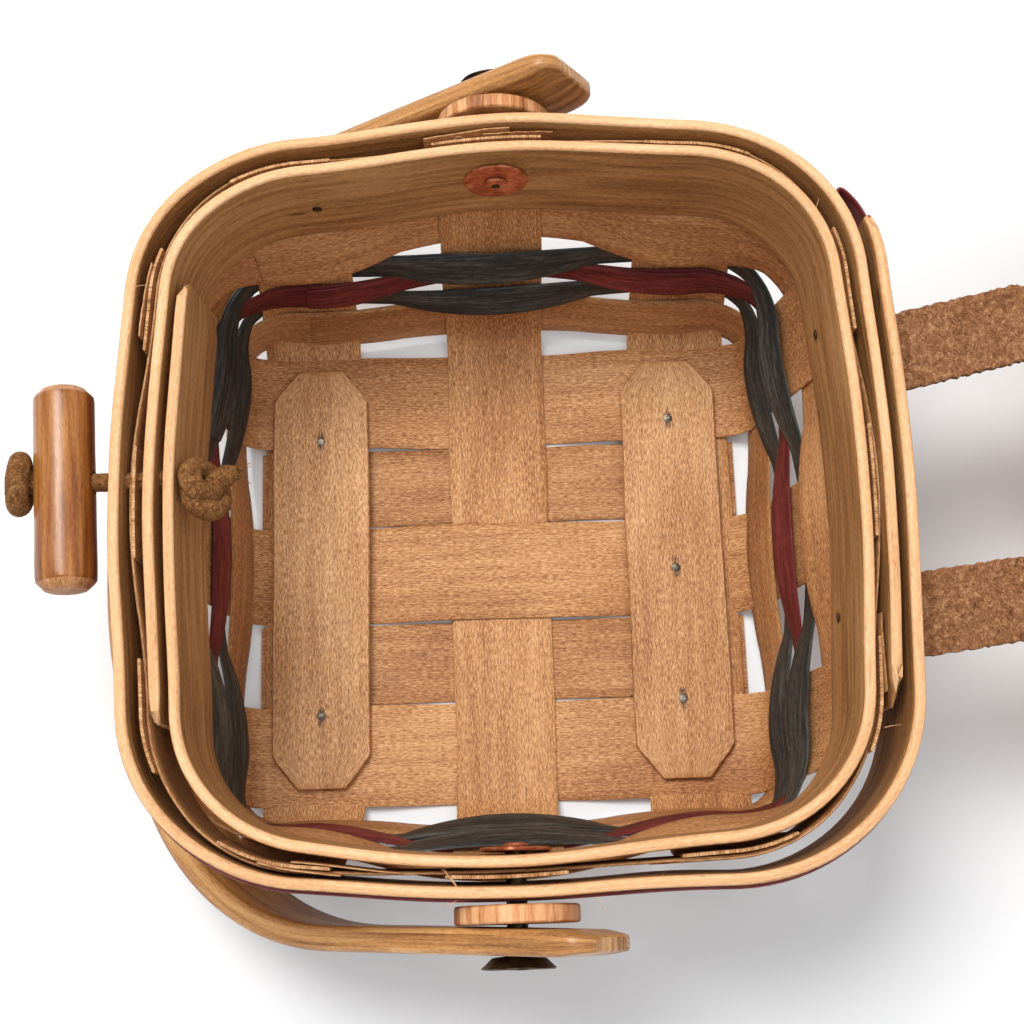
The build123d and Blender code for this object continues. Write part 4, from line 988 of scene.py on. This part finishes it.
in_face = 2.0 - level(TOG_Z)[3] + GAPS[0] + 2 * BAND_T + LAP_GAP
yo = PEG_Y - r                     # outer side of the peg
K = (TOG_X, TOG_Z)
# one lace: outer knot, through peg and wall, inner knot, tail
inner = [(K[0] + 0.2, in_face - 1.0, K[1]), (K[0] + 0.5, in_face + 2.2, K[1] + 0.4), (K[0] + 3.8, in_face + 4.4, K[1] + 3.2), (K[0] + 5.4, in_face + 7.6, K[1] + 1.0),
         (K[0] + 2.2, in_face + 9.4, K[1] - 3.2), (K[0] - 3.4, in_face + 7.6, K[1] - 3.6), (K[0] - 5.2, in_face + 4.4, K[1] + 0.6),
         (K[0] - 2.6, in_face + 3.2, K[1] + 4.6), (K[0] + 1.2, in_face + 5.0, K[1] + 5.2), (K[0] + 1.4, in_face + 7.4, K[1] + 1.4),
         (K[0] - 1.4, in_face + 8.6, K[1] - 0.2), (K[0] - 3.2, in_face + 11.6, K[1] + 0.6), (K[0] - 3.6, in_face + 14.4, K[1] + 1.2)]
outer = [(K[0] + 2.6, yo - 11.4, K[1] - 1.2), (K[0] - 0.6, yo - 9.6, K[1] - 2.6), (K[0] - 4.6, yo - 6.6, K[1] - 1.4), (K[0] - 4.8, yo - 3.6, K[1] + 2.6),
         (K[0] - 0.4, yo - 3.2, K[1] + 5.0), (K[0] + 4.2, yo - 4.4, K[1] + 3.2), (K[0] + 5.0, yo - 6.6, K[1] - 1.0), (K[0] + 1.8, yo - 6.8, K[1] - 4.4),
         (K[0] - 2.4, yo - 5.0, K[1] - 3.4), (K[0] - 1.8, yo - 3.0, K[1] + 0.2), (K[0], yo + 0.6, K[1])]
inner = [inner[0]] + [(x + 2.6 * min(1, i / 2), y, z) for i, (x, y, z) in enumerate(inner[1:], 1)]
outer = [(x, yo - 2.9 - 0.26 * (yo - y - 3.0) if y < yo - 3.0 else y, z) for x, y, z in outer]
lace = catmull(outer + [(K[0], PEG_Y, K[1]), (K[0], -93.0, K[1]), (K[0], -85.0, K[1])] + inner, 9)
rad = np.full(len(lace), 2.3)
rad[:88] = 2.75
rad[88:94] = np.linspace(2.75, 2.3, 6)
rad[-112:] = 2.8
rad[-118:-112] = np.linspace(2.3, 2.8, 6)
rad[-10:] = np.linspace(2.8, 1.7, 10)
rad[:6] = np.linspace(1.9, 2.7, 6)
ob = tube("knotted_thong", lace, rad, "thong", n=18, noise=0.12, seed=77)
settle(ob, "basket", ["toggle_thong"])

# ------------------------------------------------------------------ straps
fold_a = math.radians(-LID_FOLD)
ca, sa_ = math.cos(fold_a), math.sin(fold_a)


def lid_pt(x, y, z):
    """Closed-lid point to its turned-back place."""
    dy, dz = y - HIN_Y, z - (HIN_Z + LINK_L)
    return (x, dy * ca - dz * sa_ + HIN_Y + LINK_L, dy * sa_ + dz * ca + HIN_Z)


back_face = level(HIN_Z)[1] + level(HIN_Z)[3] + GAPS[1] + 2 * BAND_T + LAP_GAP
SLANT = {"left": -0.225, "right": -0.125}
back_face -= 1.5


def drift_x(y, k):
    """The straps run a little askew to the lid, then come back square at its rivets."""
    a = k * (max(y, back_face) - back_face - 2.0)
    lim = k * 36.0
    return a if y < 134 else lim * (1 - smooth((y - 134.0) / 26.0)) + (k * (y - back_face - 2.0) - lim) * max(0.0, 1 - (y - 134.0) / 8.0)


for side, sx in zip(("left", "right"), STRAP_X):
    dx = SLANT[side]
    riv_x = sx
    sx = sx - (2.5 if side == "left" else 1.5)
    rr = random.Random(hash_of(side))

    def strap_rows(path, xs):
        rows = []
        for i, ((y, z), x0) in enumerate(zip(path, xs)):
            row = []
            for a in cols(21.0, 9, 0.5):
                k = a + (rr.uniform(-0.28, 0.28) if abs(a) > 10.3 else 0)
                cup = 0.35 * (a / 10.5) ** 2
                row.append((x0 + k, y, z - cup * 0.3))
            rows.append(row)
        return rows

    start = [(back_face + 1.75 - TAPER * (HIN_Z - 63.6), 63.6), (back_face + 1.8 - 0.35, 66.5), (back_face + 1.95, 70.0), (back_face + 3.2, 72.4),
             (back_face + 6.0, 73.5), (HIN_Y + 10, 73.6), (HIN_Y + 18.0, 73.3)]
    path = catmull([(0, y, z) for y, z in start], 9)[:, 1:]
    f = np.linspace(0, 1, len(path))
    xs = sx + np.array([drift_x(y, dx) for y in path[:, 0]])
    ob = ribbon("suede_strap_lower_" + side, strap_rows(path, xs), 2.5, "strap", "strap_edge", edge_f=0.6, end_f=0.9, flip=False)
    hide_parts("strap_tab_" + side)
    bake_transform(ob)
    made.append(ob)
    e1 = lid_pt(sx, HIN_Y - 1.9, LID_TOP + 1.45)
    e2 = lid_pt(sx, HIN_Y - 16.0, LID_TOP + 1.4)
    e3 = lid_pt(sx, HIN_Y - 31.6, LID_TOP + 1.4)
    pts2 = [(0, HIN_Y + 17.6, 73.3), (0, HIN_Y + 26.0, 73.3), (0, HIN_Y + 33.0, 73.2), (0, HIN_Y + LINK_L + 1.0, 72.6), (0, e1[1] + 3, e1[2] - 0.5), (0, e2[1], e2[2]), (0, e3[1], e3[2])]
    path = catmull(pts2, 9)[:, 1:]
    f = np.linspace(0, 1, len(path))
    xs = sx + np.array([drift_x(y, dx) for y in path[:, 0]])
    ob = ribbon("suede_strap_upper_" + side, strap_rows(path, xs), 2.5, "strap", "strap_edge", edge_f=0.6, end_f=0.9, flip=False)
    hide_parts("hinge_strap_" + side, "strap_end_" + side)
    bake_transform(ob)
    made.append(ob)
    # rivets through the straps
    lo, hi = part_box("strap_rivet_" + side)
    yc = lo.y / MM - 1.5
    prof = [(0.0, 1.4), (2.6, 1.45), (2.75, 3.0), (2.95, 3.4), (3.3, 3.3), (3.9, 2.5), (4.15, 1.4), (4.2, 0.4)]
    ob = lathe("strap_rivet_set_" + side, prof, (sx, yc, 67.4), (0, 1, -0.02), ["bronze"], n=28, noise=0.05, seed=81)
    settle(ob, "basket", ["strap_rivet_" + side])
    p = Vector(lid_pt(riv_x, HIN_Y - 22.0, LID_TOP - 0.4))
    q = Vector(lid_pt(riv_x, HIN_Y - 22.0, LID_TOP + 5.0))
    prof = [(0.0, 1.4), (2.95, 1.45), (3.1, 3.0), (3.3, 3.4), (3.6, 3.3), (4.1, 2.4), (4.3, 1.4), (4.34, 0.4)]
    ob = lathe("lid_rivet_set_" + side, prof, tuple(p), tuple(q - p), ["bronze"], n=28, noise=0.05, seed=83)
    settle(ob, "lid", ["lid_rivet_" + side])


# ------------------------------------------------------------------ lid
def ring_pt(bx, ay, r, cx, cy, s):
    """Point s (0..1 round) on a rounded rectangle, with its outward normal."""
    seg = [2 * (bx - r), r * pi / 2, 2 * (ay - r), r * pi / 2] * 2
    s = (s % 1.0) * sum(seg)
    k = 0
    while s > seg[k] and k < 7:
        s -= seg[k]
        k += 1
    ux, uy = bx - r, ay - r
    if k == 0:
        return cx - ux + s, cy - ay, 0, -1
    if k == 2:
        return cx + bx, cy - uy + s, 1, 0
    if k == 4:
        return cx + ux - s, cy + ay, 0, 1
    if k == 6:
        return cx - bx, cy + uy - s, -1, 0
    mx, my, a0 = {1: (ux, -uy, -pi / 2), 3: (ux, uy, 0.0), 5: (-ux, uy, pi / 2), 7: (-ux, -uy, pi)}[k]
    a = a0 + s / r
    return cx + mx + r * math.cos(a), cy + my + r * math.sin(a), math.cos(a), math.sin(a)


LCX, LCY, LBX, LAY, LR = LEVELS[H]


def lid_band(name, node, d, z0, z1, seed):
    n = 220
    zs = np.array([z0, z0 + 0.35, z0 + 0.9, *np.linspace(z0 + 2.5, z1 - 2.5, 4), z1 - 0.9, z1 - 0.35, z1])
    w1, w2 = Wob(seed, 0.22), Wob(seed + 2, 0.13)
    rows = []
    for k in range(n):
        f = k / n
        x, y, nx, ny = ring_pt(LBX + d, LAY + d, LR + d, LCX, LCY, f)
        x, y = bow(x, y, H)
        o = 0.1 * w2(f)
        row = [lid_pt(x + nx * o, y + ny * o, z + (0.2 * w1(f) if z > z1 - 1 else 0)) for z in zs]
        rows.append(row)
    P = np.array(rows)
    T = np.full((n, len(zs)), BAND_T - 0.1)
    T[:, 1] *= 0.8
    T[:, -2] *= 0.8
    ob = ribbon(name, P, T, "band", "band_edge", uv0=seed * 0.3, closed=True, edge_f=0.5)
    settle(ob, "lid", [node])


lid_band("lid_hoop_inner", "lid_band_inner", -1.5 - 1.4, 95.4, 104.8, 14)
lid_band("lid_hoop_outer", "lid_band_outer", 2.2 + 1.4, 95.4, 107.6, 17)


def lid_splint(name, node, i, long_way):
    N5 = 5
    bx, ay, r = LBX + 1.9, LAY + 1.9, LR + 1.9
    px, py = 2 * bx / N5, 2 * ay / N5
    pitch = px if long_way else py
    w = pitch - 1.3
    mid = (LCX - bx if long_way else LCY - ay) + pitch * (i + 0.5)
    other = ay if long_way else bx
    oc = LCY if long_way else LCX
    opitch = py if long_way else px
    rows = []
    wl = Wob(hash_of(name), 70.0)

    def limit(v):
        """How far the strip reaches at offset v from the lid's centre across it."""
        b = bx if long_way else ay
        o = ay if long_way else bx
        e = abs(v) - (b - r)
        return o if e <= 0 else o - r + math.sqrt(max(0.0, r * r - e * e))

    nrow = 64
    cc = (LCX if long_way else LCY)
    for k in range(nrow + 1):
        g = -1 + 2 * k / nrow
        row = []
        for a in cols(w, 6, 0.35):
            v = mid + a + (0.3 * wl(k * 2.0) if abs(a) > w / 2 - 0.5 else 0)
            reach = limit(v - cc) - 0.3
            q = oc + g * reach
            j = (q - (oc - other)) / opitch - 0.5          # 0,1,2,3,4 at the crossings
            s = math.cos(pi * (j + i)) * (1 if long_way else -1)
            dz = 0.62 * math.copysign(abs(s) ** 0.6, s)
            z = 106.0 + dz
            bxy = bow(v, q, H) if long_way else bow(q, v, H)
            row.append(lid_pt(*bxy, z))
        rows.append(row)
    ob = ribbon(name, rows, 0.85, "splint" if i % 2 else "splint_in", "splint_edge", uv0=hash_of(name) % 67 * 0.5, flip=long_way)
    settle(ob, "lid", [node])


for i in range(5):
    lid_splint("lid_woven_long_%d" % (i + 1), "lid_splint_long_%d" % (i + 1), i, True)
    lid_splint("lid_woven_cross_%d" % (i + 1), "lid_splint_cross_%d" % (i + 1), i, False)

# leather loop for the toggle, with its tongue up the lid's band
front = LCY - (LAY + 2.2 + 2.8)
outline_o, outline_i = [], []
for k in range(72):
    f = k / 72
    x, y, nx, ny = ring_pt(13.0, 11.3, 6.0, TOG_X, front - 0.15 - 11.3, f)
    xi, yi, _, _ = ring_pt(8.7, 8.4, 4.0, TOG_X, PEG_Y, f)
    outline_o.append((x, y))
    outline_i.append((xi, yi))
rows = []
rg = random.Random(5)
for (xo_, yo_), (xi, yi) in zip(outline_o, outline_i):
    row = []
    for g in (0, 0.1, 0.35, 0.65, 0.9, 1.0):
        j = rg.uniform(-0.12, 0.12) if g in (0, 1.0) else 0
        row.append(lid_pt(xi + (xo_ - xi) * g + j, yi + (yo_ - yi) * g + j, 97.2))
    rows.append(row)
ob = ribbon("lid_loop_leather", rows, 2.3, "strap", "strap_edge", closed=True, edge_f=0.6)
settle(ob, "lid", ["lid_toggle_loop"])
rows = []
for k in range(14):
    z = 96.2 + (105.6 - 96.2) * k / 13
    rows.append([lid_pt(TOG_X + a + rg.uniform(-0.1, 0.1), front - 1.45, z) for a in cols(11.6, 5, 0.4)])
ob = ribbon("lid_loop_tongue", rows, 2.2, "strap", "strap_edge", edge_f=0.6, flip=True)
settle(ob, "lid")
p = Vector(lid_pt(TOG_X, front - 2.5, 103.0))
q = Vector(lid_pt(TOG_X, front - 9.0, 103.0))
ob = lathe("lid_loop_nail", [(-0.4, 1.2), (0.0, 2.0), (0.18, 2.2), (0.4, 1.9), (0.52, 1.1), (0.55, 0.3)], tuple(p), tuple(q - p), ["bronze"], n=24, noise=0.05, seed=9)
settle(ob, "lid", ["lid_loop_tack"])

# ------------------------------------------------------------------ stray fibres and splinters
rng = random.Random(44)


def hair(name, pts, r, mat, body="basket"):
    path = catmull(pts, 8)
    rad = np.linspace(r, r * 0.35, len(path))
    ob = tube(name, path, rad, mat, n=5, seed=rng.randint(1, 999))
    settle(ob, body)
    return ob


def lap_end(name, wall, c0, c1, z0, z1, o0, o1, t, mat="splint_in"):
    """A short split end caught between the bands."""
    rows = []
    for k in range(15):
        f = k / 14
        c = c0 + (c1 - c0) * f
        o = o0 + (o1 - o0) * smooth(f)
        row = []
        for z in np.linspace(z0, z1 + rng.uniform(-0.15, 0.15), 7):
            row.append((*around(z, s_at(z, wall, c), o), z))
        rows.append(row)
    ob = ribbon(name, rows, t, mat, "splint_edge", uv0=hash_of(name) % 53 * 0.3)
    settle(ob, "basket")


def deep(z, wall, c, f):
    """Offset between the middle surface (0) and the face of the outer (1) or inner (-1) band."""
    return f * gap_at(z, s_at(z, wall, c))


lap_end("lap_end_left_a", 3, -16.0, 6.0, 84.0, 93.4, 0.95, 1.75, 0.7, "splint")
lap_end("lap_end_left_b", 3, 17.0, -1.0, 84.0, 92.6, 1.0, 0.75, 0.6)
lap_end("lap_end_right_a", 1, -58.0, -38.0, 82.0, 93.0, 0.55, 1.2, 0.7, "splint")
lap_end("lap_end_right_b", 1, -50.0, -24.0, 82.0, 92.2, -0.9, -0.3, 0.6)
lap_end("lap_end_back", 2, 33.0, 52.0, 82.0, 92.4, 0.3, 1.0, 0.7)
lap_end("lap_end_front", 0, -62.0, -42.0, 80.0, 93.0, 0.6, 1.3, 0.8, "splint")

zt = H + 0.1
spots_xy = [(-93.0, -33.0), (-92.5, -6.0), (-88.0, -62.0), (97.0, -14.0), (96.0, 20.0), (94.5, 34.0), (-54.0, -88.5), (20.0, -91.0), (60.0, 88.0), (-70.0, 82.0)]
for i, (x, y) in enumerate(spots_xy):
    a = rng.uniform(0, 2 * pi)
    L = rng.uniform(2.5, 6.0)
    dx_, dy_ = math.cos(a) * L, math.sin(a) * L
    hair("fibre_%d" % i, [(x, y, zt - 1.6), (x + dx_ * 0.3, y + dy_ * 0.3, zt - 0.4), (x + dx_ * 0.7, y + dy_ * 0.7, zt - 0.6 + rng.uniform(-0.5, 0.2)),
                          (x + dx_, y + dy_, zt - 1.6)], 0.11, "band_edge")
hair("splinter_right", [(88.6, -14.8, 90.0), (90.4, -13.2, 93.6), (92.0, -12.0, 94.4), (93.6, -11.0, 93.8)], 0.42, "splint_edge")
for i in range(9):
    a = rng.uniform(-0.9, 0.9)
    b = rng.uniform(-2.6, 2.6)
    L = rng.uniform(1.5, 3.4)
    x0, y0, z0 = lace[-1]
    hair("lace_frays_%d" % i, [(x0 + b * 0.25, y0 - 1.6, z0 + a), (x0 + b * 0.5, y0 + 0.4, z0 + a * 1.2), (x0 + b * 0.8, y0 + L * 0.6, z0 + a * 1.4), (x0 + b, y0 + L, z0 + a * 1.9)],
         0.16, "thong")

# ------------------------------------------------------------------ floor, light, camera
def stage_plane():
    g = Graph("table_white")
    p = g.coords(False)
    f = g.noise(g.mapped(p, (6, 6, 6)), 1.0, 3.0, 0.5)
    f2 = g.noise(g.mapped(p, (900, 900, 900)), 1.0, 2.0, 0.6)
    col = g.ramp(f, [(0.3, (0.80, 0.81, 0.82)), (0.7, (0.86, 0.865, 0.87))])
    g.link(col, g.b.inputs["Base Color"])
    g.b.inputs["Roughness"].default_value = 0.75
    g.b.inputs["Specular IOR Level"].default_value = 0.2
    g.link(g.bump(f2, 0.08, 0.0003), g.b.inputs["Normal"])
    me = bpy.data.meshes.new("table")
    s = 6.0
    me.from_pydata([(-s, -s, 0), (s, -s, 0), (s, s, 0), (-s, s, 0)], [], [(0, 1, 2, 3)])
    me.materials.append(g.m)
    ob = bpy.data.objects.new("table", me)
    ob.location.z = -0.0002
    bpy.context.scene.collection.objects.link(ob)
    return ob


stage_plane()

sc = bpy.context.scene
sc.view_settings.view_transform = "Standard"
sc.view_settings.look = "None"
world = bpy.data.worlds.new("studio")
world.use_nodes = True
world.node_tree.nodes["Background"].inputs[0].default_value = (0.93, 0.965, 1.0, 1)
world.node_tree.nodes["Background"].inputs[1].default_value = 0.68
sc.world = world


def area(name, loc, target, size, power, color=(1, 1, 1)):
    li = bpy.data.lights.new(name, "AREA")
    li.shape = "DISK"
    li.size = size
    li.energy = power
    li.color = color
    ob = bpy.data.objects.new(name, li)
    ob.location = loc
    d = Vector(target) - Vector(loc)
    ob.rotation_mode = "QUATERNION"
    ob.rotation_quaternion = d.to_track_quat("-Z", "Y")
    sc.collection.objects.link(ob)
    return ob


area("key", (-0.52, -0.36, 1.6), (0, 0, 0.03), 0.8, 22.5, (1.0, 0.985, 0.96))
area("fill", (0.5, 0.5, 1.7), (0, 0, 0.03), 1.4, 6.0, (0.97, 0.98, 1.0))

cam = bpy.data.cameras.new("camera")
cam.lens = 58.17
cam.sensor_width = 36.0
cam.sensor_fit = "HORIZONTAL"
cam.clip_start, cam.clip_end = 0.01, 20.0
co = bpy.data.objects.new("camera", cam)
rx, ry, rz = math.radians(14.54), math.radians(0.36), math.radians(-1.72)
R = Matrix.Rotation(rz, 3, "Z") @ Matrix.Rotation(ry, 3, "Y") @ Matrix.Rotation(rx, 3, "X")
B = Matrix(((0, -1, 0), (1, 0, 0), (0, 0, 1)))
co.matrix_world = Matrix.Translation((0.10517, 0.00305, 0.47584)) @ (B @ R).to_4x4()
sc.collection.objects.link(co)
sc.camera = co
